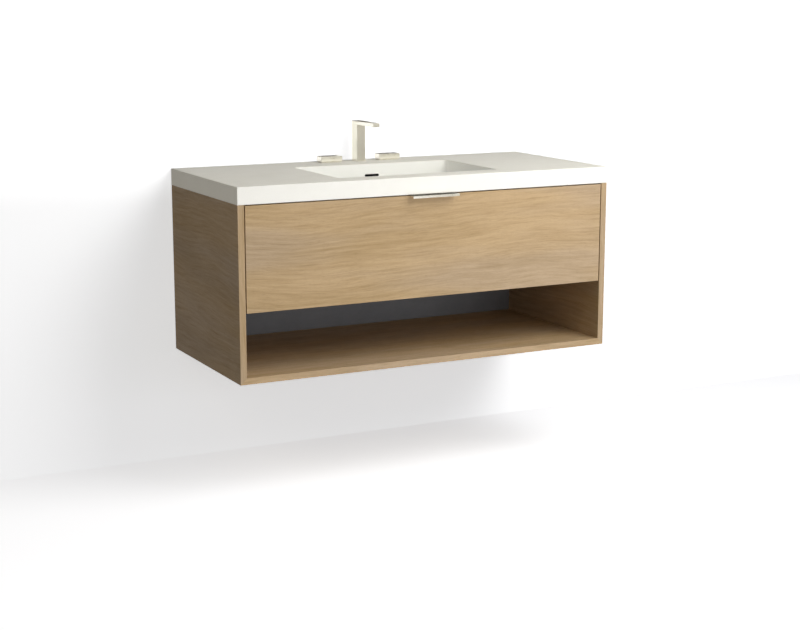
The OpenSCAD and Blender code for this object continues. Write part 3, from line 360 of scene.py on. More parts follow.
# %% [markdown]
# ### Oak veneer
#
# The cabinet is faced with light oak veneer under a matt lacquer. On the drawer front, the
# shelf and the bottom the grain runs along the width. A side panel has its grain from
# front to back. The thin edging on a side panel's front edge, and on the ends of the
# drawer front, is a strip cut upright, so a finish can pick its direction by where the
# surface faces. The left side's outer face looks away from the key light, and a darker
# tint on it is painted shade.

# %% Oak
OAK_LIGHT = (0.522, 0.382, 0.240, 1)
OAK_DARK = (0.392, 0.277, 0.153, 1)
OAK_PORE = (0.270, 0.180, 0.092, 1)
OAK_WARM = (1.030, 1.000, 0.920, 1)
OAK_GREY = (0.970, 0.982, 1.030, 1)
# Painted shade: a darker tint for the left side's outer face, which looks away from the key
# light
OAK_LEFT_PAINTED_SHADE = (0.675, 0.670, 0.680, 1)
OAK_FIGURE = (0.25, 0.58)
OAK_SHEEN = (0.25, 0.6)
OAK_ROUGHNESS = (0.56, 0.46)
PORE_STRENGTH = 0.45
DULL_STRENGTH = 0.07
ZONE_WAVES = (1.3, 8.0, 8.0)
ZONE_PLACE = (3, 1, 2)
ZONE_RANGE = (0.40, 0.60)
FIBRE_RANGE = (0.3, 0.7)
FIBRE_SHADE = (0.93, 1.05)
FIBRE_HEIGHT = 0.4


def make_oak(name, grain_axis, offset, edging=None, painted_shade_tint=None):
    material, tree, shader, place, edge = start_finish(name, edge_radius=0.6 * MM,
        specular=0.08)
    board = along_board(tree, place, grain_axis, offset)
    if edging:
        edge_faces, strip_axis = edging
        strip = along_board(tree, place, strip_axis, offset)
        board = mix(tree, "VECTOR", facing(tree, place, edge_faces), board, strip)
    wood = use_group(tree, grain, Vector=board)
    tone = blend_colours(tree, spread(tree, wood["Figure"], *OAK_FIGURE), OAK_DARK, OAK_LIGHT)
    tone = blend_colours(tree, times(tree, wood["Pores"], PORE_STRENGTH), tone, OAK_PORE)
    zone = noise(tree, stretched(tree, board, ZONE_WAVES, ZONE_PLACE), detail=2.0)
    cast = blend_colours(tree, spread(tree, zone, *ZONE_RANGE), OAK_WARM, OAK_GREY)
    tone = tint(tree, 1.0, tone, cast)
    shade = spread(tree, wood["Fibre"], *FIBRE_RANGE, *FIBRE_SHADE)
    grey = node(tree, "CombineColor", Red=shade, Green=shade, Blue=shade).outputs[0]
    tone = tint(tree, 1.0, tone, grey)
    # Painted shade: faces that look towards -x are tinted darker
    if painted_shade_tint:
        looks = parts_of(tree, place.outputs["Normal"])
        outer = maths(tree, "LESS_THAN", looks[0], -FACING)
        tone = tint(tree, outer, tone, painted_shade_tint)
    tree.links.new(tone, shader.inputs["Base Color"])
    dull = use_group(tree, smudge, Vector=place.outputs["Object"], Size=7.0)["Mask"]
    rough = plus(tree, spread(tree, wood["Figure"], *OAK_SHEEN, *OAK_ROUGHNESS),
        times(tree, dull, DULL_STRENGTH))
    tree.links.new(rough, shader.inputs["Roughness"])
    height = minus(tree, times(tree, wood["Fibre"], FIBRE_HEIGHT), wood["Pores"])
    raise_surface(tree, shader, edge, height, depth=0.12 * MM)
    return material


oak_front = make_oak("oak_drawer_front", "X", offset=0.0, edging=("X", "Z"))
oak_shelf = make_oak("oak_shelf_and_bottom", "X", offset=3.1)
oak_left = make_oak("oak_left_side", "Y", offset=5.7, edging=("Y", "Z"),
    painted_shade_tint=OAK_LEFT_PAINTED_SHADE)
oak_right = make_oak("oak_right_side", "Y", offset=9.3, edging=("Y", "Z"))
print("oak finishes:", oak_front.name, oak_shelf.name, oak_left.name, oak_right.name)

# %% [markdown]
# ### Birch plywood
#
# The drawer box, the rails and the blocks are birch plywood. A face shows pale grain with
# a slow sheen, and a cut edge shows the plies: thin bands, light and dark in turn, stacked
# through the board's thickness. The finish takes two axes, one for the grain and one for
# the thickness, and shows the bands wherever the surface doesn't face along the thickness.

# %% Birch plywood
BIRCH_LIGHT = (0.760, 0.620, 0.420, 1)
BIRCH_DARK = (0.640, 0.490, 0.300, 1)
PLY_GLUE = (0.400, 0.270, 0.140, 1)
PLY_THICKNESS = 1.5 * MM
PLY_STEP = 0.1
PLY_SHADE = 0.45
GLUE_LINE = 0.35
BIRCH_FIGURE = (0.25, 0.7)
BIRCH_ROUGHNESS = (0.52, 0.42)


def make_birch(name, grain_axis, thickness_axis, offset):
    material, tree, shader, place, edge = start_finish(name, edge_radius=0.4 * MM,
        specular=0.4)
    board = along_board(tree, place, grain_axis, offset)
    wood = use_group(tree, grain, Vector=board, Sweep=0.05, Ripple=0.006, Ring=0.034)
    tone = blend_colours(tree, spread(tree, wood["Figure"], *BIRCH_FIGURE), BIRCH_DARK,
        BIRCH_LIGHT)
    parts = parts_of(tree, place.outputs["Object"])
    depth = parts["XYZ".index(thickness_axis)]
    ply = maths(tree, "SINE", times(tree, depth, math.pi / PLY_THICKNESS))
    glue = spread(tree, maths(tree, "ABSOLUTE", ply), GLUE_LINE, 0.0)
    cross = spread(tree, ply, -PLY_STEP, PLY_STEP, 0.0, PLY_SHADE)
    fuzz = noise(tree, place.outputs["Object"], scale=900.0, detail=2.0)
    bands = blend_colours(tree, cross, BIRCH_LIGHT, BIRCH_DARK)
    bands = blend_colours(tree, times(tree, glue, fuzz), bands, PLY_GLUE)
    on_edge = minus(tree, 1.0, facing(tree, place, thickness_axis))
    tone = blend_colours(tree, on_edge, tone, bands)
    tree.links.new(tone, shader.inputs["Base Color"])
    tree.links.new(spread(tree, wood["Fibre"], *FIBRE_RANGE, *BIRCH_ROUGHNESS),
        shader.inputs["Roughness"])
    raise_surface(tree, shader, edge, wood["Fibre"], depth=0.08 * MM)
    return material


birch_along = make_birch("birch_ply_upright_wide", "X", "Y", offset=0.0)
birch_deep = make_birch("birch_ply_upright_deep", "Y", "X", offset=4.0)
birch_flat = make_birch("birch_ply_flat", "X", "Z", offset=8.0)
print("birch finishes:", birch_along.name, birch_deep.name, birch_flat.name)

# %% [markdown]
# ### White solid surface
#
# The top is a satin white mineral-filled resin. It isn't one flat white: it has a very
# faint warm mottle, specks a hair darker than the rest, and a sanded skin whose
# roughness changes a little. Below the rim, a mask made from the position blends the basin's
# inside to a lighter, cooler white: painted light in the shaded bowl. A second mask paints
# the inner walls of the overflow slot black: painted shade in the deep slot. The Bevel
# radius stays tiny, because a wide one would draw a line where the deck meets the bonded
# basin.

# %% White solid surface
TOP_DULL = (0.902, 0.882, 0.824, 1)
TOP_LIGHT = (0.932, 0.914, 0.860, 1)
TOP_SPECK = (0.66, 0.65, 0.61, 1)
# Painted light: a lighter, cooler white inside the bowl, where it lies in shade
BASIN_PAINTED_LIGHT = (0.955, 0.955, 0.930, 1)
# Painted shade: black on the slot's inner walls, where the deep recess is in shade
SLOT_PAINTED_SHADE = (0.02, 0.02, 0.02, 1)
TOP_ROUGHNESS = (0.46, 0.58)
MOTTLE_RANGE = (0.3, 0.7)
SPECK_STRENGTH = 0.22
# The basin's painted light stays inside its wall and fades out below the rim
BASIN_WALL = 10 * MM
RIM_BLEND = 5 * MM
# The slot with its painted shade has its middle this far below the deck, and its walls end
# this far before the basin's back
SLOT_DROP = 37 * MM
SLOT_DEPTH = 34 * MM
SLOT_HALF_WIDTH = 25.2 * MM
SLOT_HALF_TALL = 4.2 * MM

deck_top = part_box("countertop")[1].z
basin_low, basin_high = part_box("basin")


def all_of(tree, *masks):
    """Multiplies masks, so that the result is 1 only where every one of them is."""
    product = masks[0]
    for mask in masks[1:]:
        product = times(tree, product, mask)
    return product


# Mask for the painted shade on the slot's inner walls
def slot_painted_shade_mask(tree, place):
    parts = parts_of(tree, place.outputs["Object"])
    aside = maths(tree, "ABSOLUTE", parts[0])
    lift = maths(tree, "ABSOLUTE", minus(tree, parts[2], deck_top - SLOT_DROP))
    return all_of(tree, minus(tree, 1.0, facing(tree, place, "Y")),
        maths(tree, "LESS_THAN", aside, SLOT_HALF_WIDTH),
        maths(tree, "LESS_THAN", lift, SLOT_HALF_TALL),
        maths(tree, "GREATER_THAN", parts[1], basin_high.y - SLOT_DEPTH))


# Mask for the painted light inside the basin, below the rim
def basin_painted_light_mask(tree, place):
    parts = parts_of(tree, place.outputs["Object"])
    aside = maths(tree, "ABSOLUTE", parts[0])
    return all_of(tree, maths(tree, "LESS_THAN", aside, basin_high.x - BASIN_WALL),
        maths(tree, "LESS_THAN", parts[1], basin_high.y - BASIN_WALL),
        maths(tree, "GREATER_THAN", parts[1], basin_low.y + BASIN_WALL),
        spread(tree, parts[2], deck_top - RIM_BLEND, deck_top, 1.0, 0.0))


def make_white_top():
    material, tree, shader, place, edge = start_finish("white_solid_surface",
        edge_radius=0.1 * MM, specular=0.02)
    where = place.outputs["Object"]
    cloud = noise(tree, where, scale=11.0, detail=5.0, roughness=0.6)
    tone = blend_colours(tree, spread(tree, cloud, *MOTTLE_RANGE), TOP_DULL, TOP_LIGHT)
    skin = use_group(tree, stipple, Vector=where, Size=850.0)
    tone = blend_colours(tree, times(tree, skin["Specks"], SPECK_STRENGTH), tone, TOP_SPECK)
    # Painted light inside the basin
    tone = blend_colours(tree, basin_painted_light_mask(tree, place), tone, BASIN_PAINTED_LIGHT)
    # Painted shade on the slot's inner walls
    tone = blend_colours(tree, slot_painted_shade_mask(tree, place), tone, SLOT_PAINTED_SHADE)
    tree.links.new(tone, shader.inputs["Base Color"])
    dull = use_group(tree, smudge, Vector=where, Size=8.0)["Mask"]
    tree.links.new(spread(tree, dull, 0.0, 1.0, *TOP_ROUGHNESS), shader.inputs["Roughness"])
    raise_surface(tree, shader, edge, skin["Height"], depth=0.02 * MM)
    return material


white_top = make_white_top()
print("top finish:", white_top.name)

# %% [markdown]
# ### Metals
#
# The faucet, the pull and the drain are a light, warm satin nickel. Satin metal is metal
# brushed in one direction, so its height noise is stretched along the brushing and very
# fine across it, and its roughness follows the same lines. Zinc plate on the slides and
# screws is cooler and clouded, and the valves are bare turned brass.

# %% Metals
NICKEL = ((0.810, 0.775, 0.675, 1), (0.900, 0.872, 0.780, 1))
ZINC = ((0.44, 0.46, 0.49, 1), (0.62, 0.64, 0.66, 1))
BRIGHT_ZINC = ((0.50, 0.51, 0.52, 1), (0.68, 0.69, 0.70, 1))
BRASS = ((0.50, 0.34, 0.12, 1), (0.70, 0.52, 0.24, 1))
METAL_RANGE = (0.2, 0.8)
# Waves per metre of the brushing along x, y and z
ALONG_X = (14.0, 1400.0, 1400.0)
ALONG_Y = (1400.0, 14.0, 1400.0)
ALONG_Z = (1400.0, 1400.0, 14.0)
EVEN = (420.0, 420.0, 420.0)
TURNED = (500.0, 500.0, 2600.0)


def make_metal(name, tones, brush_waves, roughness, clouds=0.5, depth=0.004 * MM):
    material, tree, shader, place, edge = start_finish(name, edge_radius=0.35 * MM, metal=1.0)
    where = place.outputs["Object"]
    brush = noise(tree, stretched(tree, where, brush_waves), detail=2.0)
    dull = use_group(tree, smudge, Vector=where, Size=26.0)["Mask"]
    both = plus(tree, times(tree, dull, clouds), times(tree, brush, 1.0 - clouds))
    tree.links.new(blend_colours(tree, both, *tones), shader.inputs["Base Color"])
    tree.links.new(spread(tree, both, *METAL_RANGE, *roughness), shader.inputs["Roughness"])
    raise_surface(tree, shader, edge, brush, depth)
    return material


nickel_wide = make_metal("nickel_brushed_wide", NICKEL, ALONG_X, (0.24, 0.34), clouds=0.35)
nickel_tall = make_metal("nickel_brushed_tall", NICKEL, ALONG_Z, (0.27, 0.37), clouds=0.35)
nickel_plain = make_metal("nickel_plain", NICKEL, EVEN, (0.18, 0.28))
zinc = make_metal("zinc_plate", ZINC, ALONG_Y, (0.26, 0.42), clouds=0.75)
zinc_screw = make_metal("zinc_screw", BRIGHT_ZINC, EVEN, (0.22, 0.36), clouds=0.6)
brass = make_metal("turned_brass", BRASS, TURNED, (0.20, 0.34), depth=0.01 * MM)
print("metals:", nickel_wide.name, nickel_tall.name, zinc.name, brass.name)

# %% [markdown]
# ### Laminate, rubber and plastics
#
# The panel behind the shelf is a grey matt laminate with the fine pebbled skin such boards
# have. It lies in deep shade, so it looks almost black although its own colour is a middle
# grey. Rubber is nearly black with chalky clouds. The overflow duct is moulded in black
# plastic, and together with the painted shade on the slot's inner walls this makes the slot
# in the basin look dark. The bumpers are clear.

# %% Laminate, rubber and plastics
LAMINATE = ((0.175, 0.181, 0.190, 1), (0.200, 0.206, 0.216, 1))
RUBBER = ((0.016, 0.016, 0.016, 1), (0.040, 0.039, 0.038, 1))
BLACK = ((0.014, 0.014, 0.015, 1), (0.026, 0.026, 0.027, 1))
CLEAR = ((0.80, 0.83, 0.84, 1), (0.90, 0.92, 0.93, 1))
SKIN_SPECKS = 0.3


def make_moulded(name, tones, roughness, size, depth, specular=0.5):
    material, tree, shader, place, edge = start_finish(name, edge_radius=0.4 * MM,
        specular=specular)
    where = place.outputs["Object"]
    skin = use_group(tree, stipple, Vector=where, Size=size)
    dull = use_group(tree, smudge, Vector=where, Size=12.0)["Mask"]
    tone = blend_colours(tree, dull, *tones)
    tone = blend_colours(tree, times(tree, skin["Specks"], SKIN_SPECKS), tone, tones[1])
    tree.links.new(tone, shader.inputs["Base Color"])
    tree.links.new(spread(tree, dull, 0.0, 1.0, *roughness), shader.inputs["Roughness"])
    raise_surface(tree, shader, edge, skin["Height"], depth, strength=0.6)
    return material, shader


laminate, _ = make_moulded("grey_laminate", LAMINATE, (0.55, 0.68), size=900.0,
    depth=0.05 * MM, specular=0.3)
rubber, _ = make_moulded("black_rubber", RUBBER, (0.62, 0.82), size=600.0,
    depth=0.06 * MM, specular=0.3)
plastic, _ = make_moulded("black_plastic", BLACK, (0.34, 0.48), size=500.0, depth=0.03 * MM)
clear_plastic, clear_shader = make_moulded("clear_bumper", CLEAR, (0.12, 0.25), size=500.0,
    depth=0.02 * MM)
clear_shader.inputs["Transmission Weight"].default_value = 0.85
clear_shader.inputs["IOR"].default_value = 1.45
print("plastics:", laminate.name, rubber.name, plastic.name, clear_plastic.name)

# %% [markdown]
# ## Dressing the exact solids
#
# Most boards already have their final shape, so they only get a finish. The finish goes
# into the object's material slot. The table reads like a cutting list: which finish, on
# which pieces.

# %% Finishes on the solids
WEAR = {
    oak_front: ["drawer_front"],
    oak_shelf: ["bottom_panel", "divider_panel"],
    oak_left: ["left_side_panel"],
    oak_right: ["right_side_panel"],
    laminate: ["niche_back_panel"],
    birch_along: ["upper_back_rail", "lower_back_rail", "drawer_inner_front", "drawer_backs",
        "drawer_notch_front"],
    birch_deep: ["drawer_side_left", "drawer_side_right", "drawer_notch_sides"],
    birch_flat: ["front_stretcher", "corner_blocks", "drawer_bottom", "carcass_dowels"],
    white_top: ["countertop", "basin", "edge_strips"],
    nickel_tall: ["spout_body", "spout_plinth"],
    nickel_wide: ["hot_handle", "cold_handle", "handle_plates", "drawer_pull"],
    nickel_plain: ["drain_flange", "drain_stopper", "drain_tailpiece", "pull_screws"],
    brass: ["spout_shank", "spout_lock_nut", "hot_valve_body", "cold_valve_body",
        "valve_lock_nuts", "hot_valve_stem", "cold_valve_stem"],
    zinc: ["left_slide_cabinet_member", "right_slide_cabinet_member",
        "left_slide_middle_member", "right_slide_middle_member", "left_slide_drawer_member",
        "right_slide_drawer_member", "left_outer_ball_cage", "right_outer_ball_cage",
        "left_inner_ball_cage", "right_inner_ball_cage"],
    zinc_screw: ["drain_lock_nut", "spout_aerator", "cabinet_slide_screws",
        "drawer_slide_screws", "drawer_front_screws", "hot_handle_set_screw",
        "cold_handle_set_screw"],
    rubber: ["drain_gasket", "stopper_seal", "faucet_washers"],
    plastic: ["overflow_duct"],
    clear_plastic: ["drawer_bumpers"],
}


def dress(thing, material):
    thing.data.materials.clear()
    thing.data.materials.append(material)


finish_of = {}
for material, names in WEAR.items():
    for name in names:
        dress(frame["nodes"][name], material)
        finish_of[name] = material
undressed = sorted(set(frame["nodes"]) - set(finish_of))
print("dressed solids:", len(finish_of), "still bare:", undressed)

# %% [markdown]
# ## Helpers for modelling by hand
#
# An operator works on whatever is selected, so each piece starts with nothing selected.
# The helpers below add a cube at its real size, pick edges by where they lie, and bake
# modifiers and place into the mesh, so that the finished object sits at the origin.

# %% Modelling helpers
STRAIGHT = 0.99
CUT_PAST = 1 * MM
BODY_OF = {name: body for body, names in frame["record"]["behaviour"]["bodies"].items()
    for name in names}


def only(*things):
    bpy.ops.object.select_all(action="DESELECT")
    for thing in things:
        thing.select_set(True)
    bpy.context.view_layer.objects.active = things[-1]


def start_box(name, low, high):
    low, high = Vector(low), Vector(high)
    bpy.ops.object.select_all(action="DESELECT")
    bpy.ops.mesh.primitive_cube_add(size=1, location=(low + high) / 2)
    thing = bpy.context.object
    thing.name = name
    thing.scale = high - low
    bpy.ops.object.transform_apply(location=True, rotation=True, scale=True)
    return thing


def pick(thing, kind, test):
    """Goes into edit mode and selects the faces, edges or verts for which test is true."""
    only(thing)
    bpy.ops.object.mode_set(mode="EDIT")
    bpy.ops.mesh.select_mode(type={"faces": "FACE", "edges": "EDGE", "verts": "VERT"}[kind])
    bpy.ops.mesh.select_all(action="DESELECT")
    mesh = bmesh.from_edit_mesh(thing.data)
    for part in getattr(mesh, kind):
        if test(part):
            part.select_set(True)
    mesh.select_flush_mode()
    bmesh.update_edit_mesh(thing.data)


def leave():
    bpy.ops.object.mode_set(mode="OBJECT")


def along(edge, axis):
    way = (edge.verts[1].co - edge.verts[0].co).normalized()
    return abs(way[axis]) > STRAIGHT


def looks_low(face, axis):
    """True for a face that looks straight towards the low end of the axis."""
    return face.normal[axis] < -STRAIGHT


def ends_at(edge, axis, value, slack=0.02 * MM):
    return all(abs(vert.co[axis] - value) < slack for vert in edge.verts)


def bevel_picked(width, steps):
    bpy.ops.mesh.bevel(offset=width, segments=steps, profile=0.5, affect="EDGES")


def apply_modifier(thing, kind, **settings):
    only(thing)
    modifier = thing.modifiers.new(kind.lower(), kind)
    for name, value in settings.items():
        setattr(modifier, name, value)
    bpy.ops.object.modifier_apply(modifier=modifier.name)


def smooth(thing, degrees=35):
    """Smooths small angles, while the large flat faces keep their own flat shading."""
    only(thing)
    bpy.ops.object.shade_smooth_by_angle(angle=math.radians(degrees))
    apply_modifier(thing, "WEIGHTED_NORMAL", mode="FACE_AREA", keep_sharp=True)


def cut_away(thing, cutter):
    apply_modifier(thing, "BOOLEAN", operation="DIFFERENCE", object=cutter, solver="EXACT")
    bpy.data.objects.remove(cutter)


def rod(name, radius, start, end, sides=48):
    """A round bar between two points, as a start for a cut or a turned piece."""
    start, end = Vector(start), Vector(end)
    way = end - start
    bpy.ops.object.select_all(action="DESELECT")
    bpy.ops.mesh.primitive_cylinder_add(vertices=sides, radius=radius, depth=way.length,
        location=(start + end) / 2, rotation=way.to_track_quat("Z", "Y").to_euler())
    thing = bpy.context.object
    thing.name = name
    bpy.ops.object.transform_apply(location=True, rotation=True, scale=True)
    return thing


def hand_over(piece, *solids):
    """The piece takes the body, slot and finish of the solids and stands in for them."""
    first = solids[0]
    dress(piece, finish_of[first])
    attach(piece, BODY_OF[first])
    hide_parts(*solids)


print("bodies:", sorted(set(BODY_OF.values())))

# %% [markdown]
# ## Round solids, welded and smoothed
#
# A solid that comes from exact geometry arrives as loose triangles, so a tube looks like
# a bundle of flat strips. The solid itself is left alone. A copy is welded by distance,
# so that neighbours share their corners, and then shaded smooth wherever two faces meet
# at a small angle. The sharp edges stay sharp. Smoothing alone would bend the light on the
# large flat faces beside a fillet, so normals weighted by area keep those flat.

# %% Weld and smooth the round solids
WELD = 0.002 * MM
FLAT_ANGLE = math.radians(0.2)
ROUND_SOLIDS = ["countertop", "basin", "drain_flange", "drain_gasket", "drain_tailpiece",
    "drain_stopper", "stopper_seal", "overflow_duct", "spout_aerator", "spout_shank",
    "faucet_washers", "hot_valve_body", "cold_valve_body", "hot_valve_stem",
    "cold_valve_stem", "spout_plinth", "handle_plates", "drawer_bumpers",
    "left_slide_cabinet_member", "right_slide_cabinet_member",
    "left_slide_middle_member", "right_slide_middle_member", "left_slide_drawer_member",
    "right_slide_drawer_member", "left_outer_ball_cage", "right_outer_ball_cage",
    "left_inner_ball_cage", "right_inner_ball_cage"]


def welded_twin(name):
    solid = frame["nodes"][name]
    twin = bpy.data.objects.new(name + "_smooth", solid.data.copy())
    bpy.context.scene.collection.objects.link(twin)
    only(twin)
    bpy.ops.object.mode_set(mode="EDIT")
    bpy.ops.mesh.select_all(action="SELECT")
    bpy.ops.mesh.remove_doubles(threshold=WELD)
    bpy.ops.mesh.dissolve_limited(angle_limit=FLAT_ANGLE)
    leave()
    smooth(twin)
    hand_over(twin, name)
    return twin


for name in ROUND_SOLIDS:
    twin = welded_twin(name)
    print(twin.name, "faces:", len(twin.data.polygons))

# %% [markdown]
# ## The handles
#
# Each handle is a flat block of metal with crisp upright corners and a finer rounding
# along its top and bottom. A cube at the block's size, bevelled twice, is exactly how such
# a block is milled: first the outline, then the edges. The small hole in the back takes
# the set screw.

# %% Handles
HANDLE_CORNER = 3 * MM
HANDLE_EASE = 1.0 * MM
SET_SCREW_HOLE = 1.8 * MM


def make_handle(name, screw):
    low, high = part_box(name)
    piece = start_box(name + "_block", low, high)
    pick(piece, "edges", lambda edge: along(edge, 2))
    bevel_picked(HANDLE_CORNER, steps=6)
    leave()
    pick(piece, "edges", lambda edge: ends_at(edge, 2, high.z) or ends_at(edge, 2, low.z))
    bevel_picked(HANDLE_EASE, steps=3)
    leave()
    screw_low, screw_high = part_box(screw)
    middle = (screw_low + screw_high) / 2
    hole = rod("set_screw_hole", SET_SCREW_HOLE, (middle.x, screw_low.y, middle.z),
        (middle.x, high.y + CUT_PAST, middle.z), sides=24)
    cut_away(piece, hole)
    smooth(piece)
    hand_over(piece, name)
    return piece


for name in ("hot_handle", "cold_handle"):
    handle = make_handle(name, name + "_set_screw")
    print(handle.name, "faces:", len(handle.data.polygons))

# %% [markdown]
# ## The spout
#
# The spout is one block bent like a gallows: a column and a flat arm that narrows towards
# its tip. A cube makes the column. The arm is extruded from the column's front face, after
# a cut across the column at the arm's underside has split that face in two. A second
# extrusion runs to the tip, and scaling that last face tapers the arm. All outer edges get
# a fine bevel, and the inner corner under the arm gets its own small fillet.

# %% Spout
ARM_THICKNESS = 12 * MM
COLUMN_DEPTH = 38 * MM
SPOUT_EASE = 1.5 * MM
ARM_FILLET = 3 * MM
ARM_STRAIGHT = 5 * MM
ARM_TIP_WIDTH = 23 * MM
CRISP_ANGLE = math.radians(60)
SEAT_GAP = 0.1 * MM

spout_low, spout_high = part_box("spout_body")
arm_under = spout_high.z - ARM_THICKNESS
column_front = spout_high.y - COLUMN_DEPTH
spout = start_box("spout_block", (spout_low.x, column_front, spout_low.z), spout_high)
pick(spout, "faces", lambda face: True)
bpy.ops.mesh.bisect(plane_co=(0, 0, arm_under), plane_no=(0, 0, 1))
leave()
pick(spout, "faces", lambda face: looks_low(face, 1)
    and face.calc_center_median().z > arm_under)
bpy.ops.mesh.extrude_region_move(TRANSFORM_OT_translate={"value": (0, -ARM_STRAIGHT, 0)})
bpy.ops.mesh.extrude_region_move(
    TRANSFORM_OT_translate={"value": (0, spout_low.y - column_front + ARM_STRAIGHT, 0)})
bpy.ops.transform.resize(value=(ARM_TIP_WIDTH / (spout_high.x - spout_low.x), 1, 1))
leave()
pick(spout, "edges", lambda edge: along(edge, 0)
    and ends_at(edge, 1, column_front) and ends_at(edge, 2, arm_under))
bevel_picked(ARM_FILLET, steps=5)
leave()


def outer_edge(edge):
    return len(edge.link_faces) == 2 and edge.calc_face_angle(0) > CRISP_ANGLE


pick(spout, "edges", outer_edge)
bevel_picked(SPOUT_EASE, steps=3)
leave()
aerator_low, aerator_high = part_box("spout_aerator")
aerator_middle = (aerator_low + aerator_high) / 2
seat_radius = (aerator_high.x - aerator_low.x) / 2 + SEAT_GAP
cut_away(spout, rod("aerator_seat", seat_radius,
    (aerator_middle.x, aerator_middle.y, arm_under - CUT_PAST),
    (aerator_middle.x, aerator_middle.y, aerator_high.z + SEAT_GAP)))
smooth(spout)
hand_over(spout, "spout_body")
print("spout faces:", len(spout.data.polygons))

# %% [markdown]
# ## The drawer pull
#
# The pull is a strip of metal folded over the drawer front's top edge. We draw it as the
# sheet metal worker does: one flat strip for the leg, one fold forward over the edge and
# one fold down for the lip. Each fold is a cut across the strip and an extrusion of the
# face beyond it. The outer bend is rounded, and a fine bevel breaks all other edges so
# that they catch light.

# %% Drawer pull
PULL_SHEET = 1.5 * MM
PULL_EASE = 0.35 * MM
PULL_BEND = 2 * MM
LIP_DROP = 7 * MM

pull_low, pull_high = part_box("drawer_pull")
pull = start_box("pull_strip", (pull_low.x, pull_high.y - PULL_SHEET, pull_low.z),
    (pull_high.x, pull_high.y, pull_high.z))
pick(pull, "faces", lambda face: True)
bpy.ops.mesh.bisect(plane_co=(0, 0, pull_high.z - PULL_SHEET), plane_no=(0, 0, 1))
leave()
pick(pull, "faces", lambda face: looks_low(face, 1)
    and face.calc_center_median().z > pull_high.z - PULL_SHEET)
bpy.ops.mesh.extrude_region_move(
    TRANSFORM_OT_translate={"value": (0, pull_low.y - pull_high.y + PULL_SHEET, 0)})
leave()
pick(pull, "faces", lambda face: True)
bpy.ops.mesh.bisect(plane_co=(0, pull_low.y + PULL_BEND, 0), plane_no=(0, 1, 0))
leave()
pick(pull, "faces", lambda face: looks_low(face, 2)
    and face.calc_center_median().y < pull_low.y + PULL_BEND)
bpy.ops.mesh.extrude_region_move(
    TRANSFORM_OT_translate={"value": (0, 0, -(LIP_DROP - PULL_SHEET))})
leave()
pick(pull, "edges", lambda edge: along(edge, 0)
    and ends_at(edge, 1, pull_low.y) and ends_at(edge, 2, pull_high.z))
bevel_picked(PULL_BEND, steps=6)
leave()
pick(pull, "edges", outer_edge)
bevel_picked(PULL_EASE, steps=2)
leave()
smooth(pull)
hand_over(pull, "drawer_pull")
print("pull faces:", len(pull.data.polygons))

# %% [markdown]
# ## The studio
#
# A white wall behind the vanity and a white floor below it catch soft shadows. Both are
# white where the light reaches them. To get there without more light on the object, they
# add a little glow of their own, but only for rays that see them, straight or in a
# reflection. The glow rises with height, which keeps the faucet's shadow faint, and far
# from the vanity, where the lamps don't reach. For all other rays, and from behind, both
# are clear, so that any view shows the vanity.
#
# Their paint is a trace blue, which balances the warm lamps, so that they render neutral.
# The wall's paint has a trick of its own: its normal looks up instead of forward. So the
# lamp straight in front hardly lights it and can't wash out the shadow of the high key.

# %% Wall and floor
PURE_WHITE = (1, 1, 1, 1)
FLOOR_Z = -0.7075
WALL_GAP = 0.5 * MM
STAGE_REACH = 6.0
STAGE_TINT = (0.99, 1.00, 1.075)
# Between these heights the glow rises by this much
GLOW_HEIGHTS = (0.10, 0.32)
GLOW_RISE = 0.25
# Between these distances from the origin it rises to full white
FAR_RANGE = (2.6, 4.4)


def seen_rays(tree):
    rays = tree.nodes.new("ShaderNodeLightPath").outputs
    seen = maths(tree, "MAXIMUM", rays["Is Camera Ray"], rays["Is Glossy Ray"])
    return maths(tree, "MAXIMUM", seen, rays["Is Transmission Ray"])


def make_stage_white(name, paint, glow, looks_to):
    material = bpy.data.materials.new(name)
    material.use_nodes = True
    tree = material.node_tree
    tree.nodes.clear()
    output = tree.nodes.new("ShaderNodeOutputMaterial")
    way = Vector(looks_to).normalized()
    tilt = node(tree, "CombineXYZ", X=way.x, Y=way.y, Z=way.z).outputs[0]
    colour = [paint * share for share in STAGE_TINT] + [1]
    matt = node(tree, "BsdfDiffuse", Color=colour, Normal=tilt)
    where = tree.nodes.new("ShaderNodeNewGeometry").outputs["Position"]
    parts = parts_of(tree, where)
    above = spread(tree, parts[2], *GLOW_HEIGHTS, glow, glow + GLOW_RISE)
    reach = node(tree, "VectorMath", {"operation": "LENGTH"}, Vector=where).outputs["Value"]
    far = spread(tree, reach, *FAR_RANGE, 0.0, 1.0 - glow)
    light = node(tree, "Emission", Color=PURE_WHITE, Strength=plus(tree, above, far))
    both = tree.nodes.new("ShaderNodeAddShader")
    tree.links.new(matt.outputs[0], both.inputs[0])
    tree.links.new(light.outputs[0], both.inputs[1])
    clear = tree.nodes.new("ShaderNodeBsdfTransparent")
    back = tree.nodes.new("ShaderNodeNewGeometry").outputs["Backfacing"]
    solid = times(tree, seen_rays(tree), minus(tree, 1.0, back))
    shown = mix_shaders(tree, solid, clear.outputs[0], both.outputs[0])
    tree.links.new(shown, output.inputs["Surface"])
    return material


def stage_plane(name, place, turn, material):
    bpy.ops.object.select_all(action="DESELECT")
    bpy.ops.mesh.primitive_plane_add(size=2 * STAGE_REACH, location=place, rotation=turn)
    plane = bpy.context.object
    plane.name = name
    plane.data.materials.append(material)
    return plane


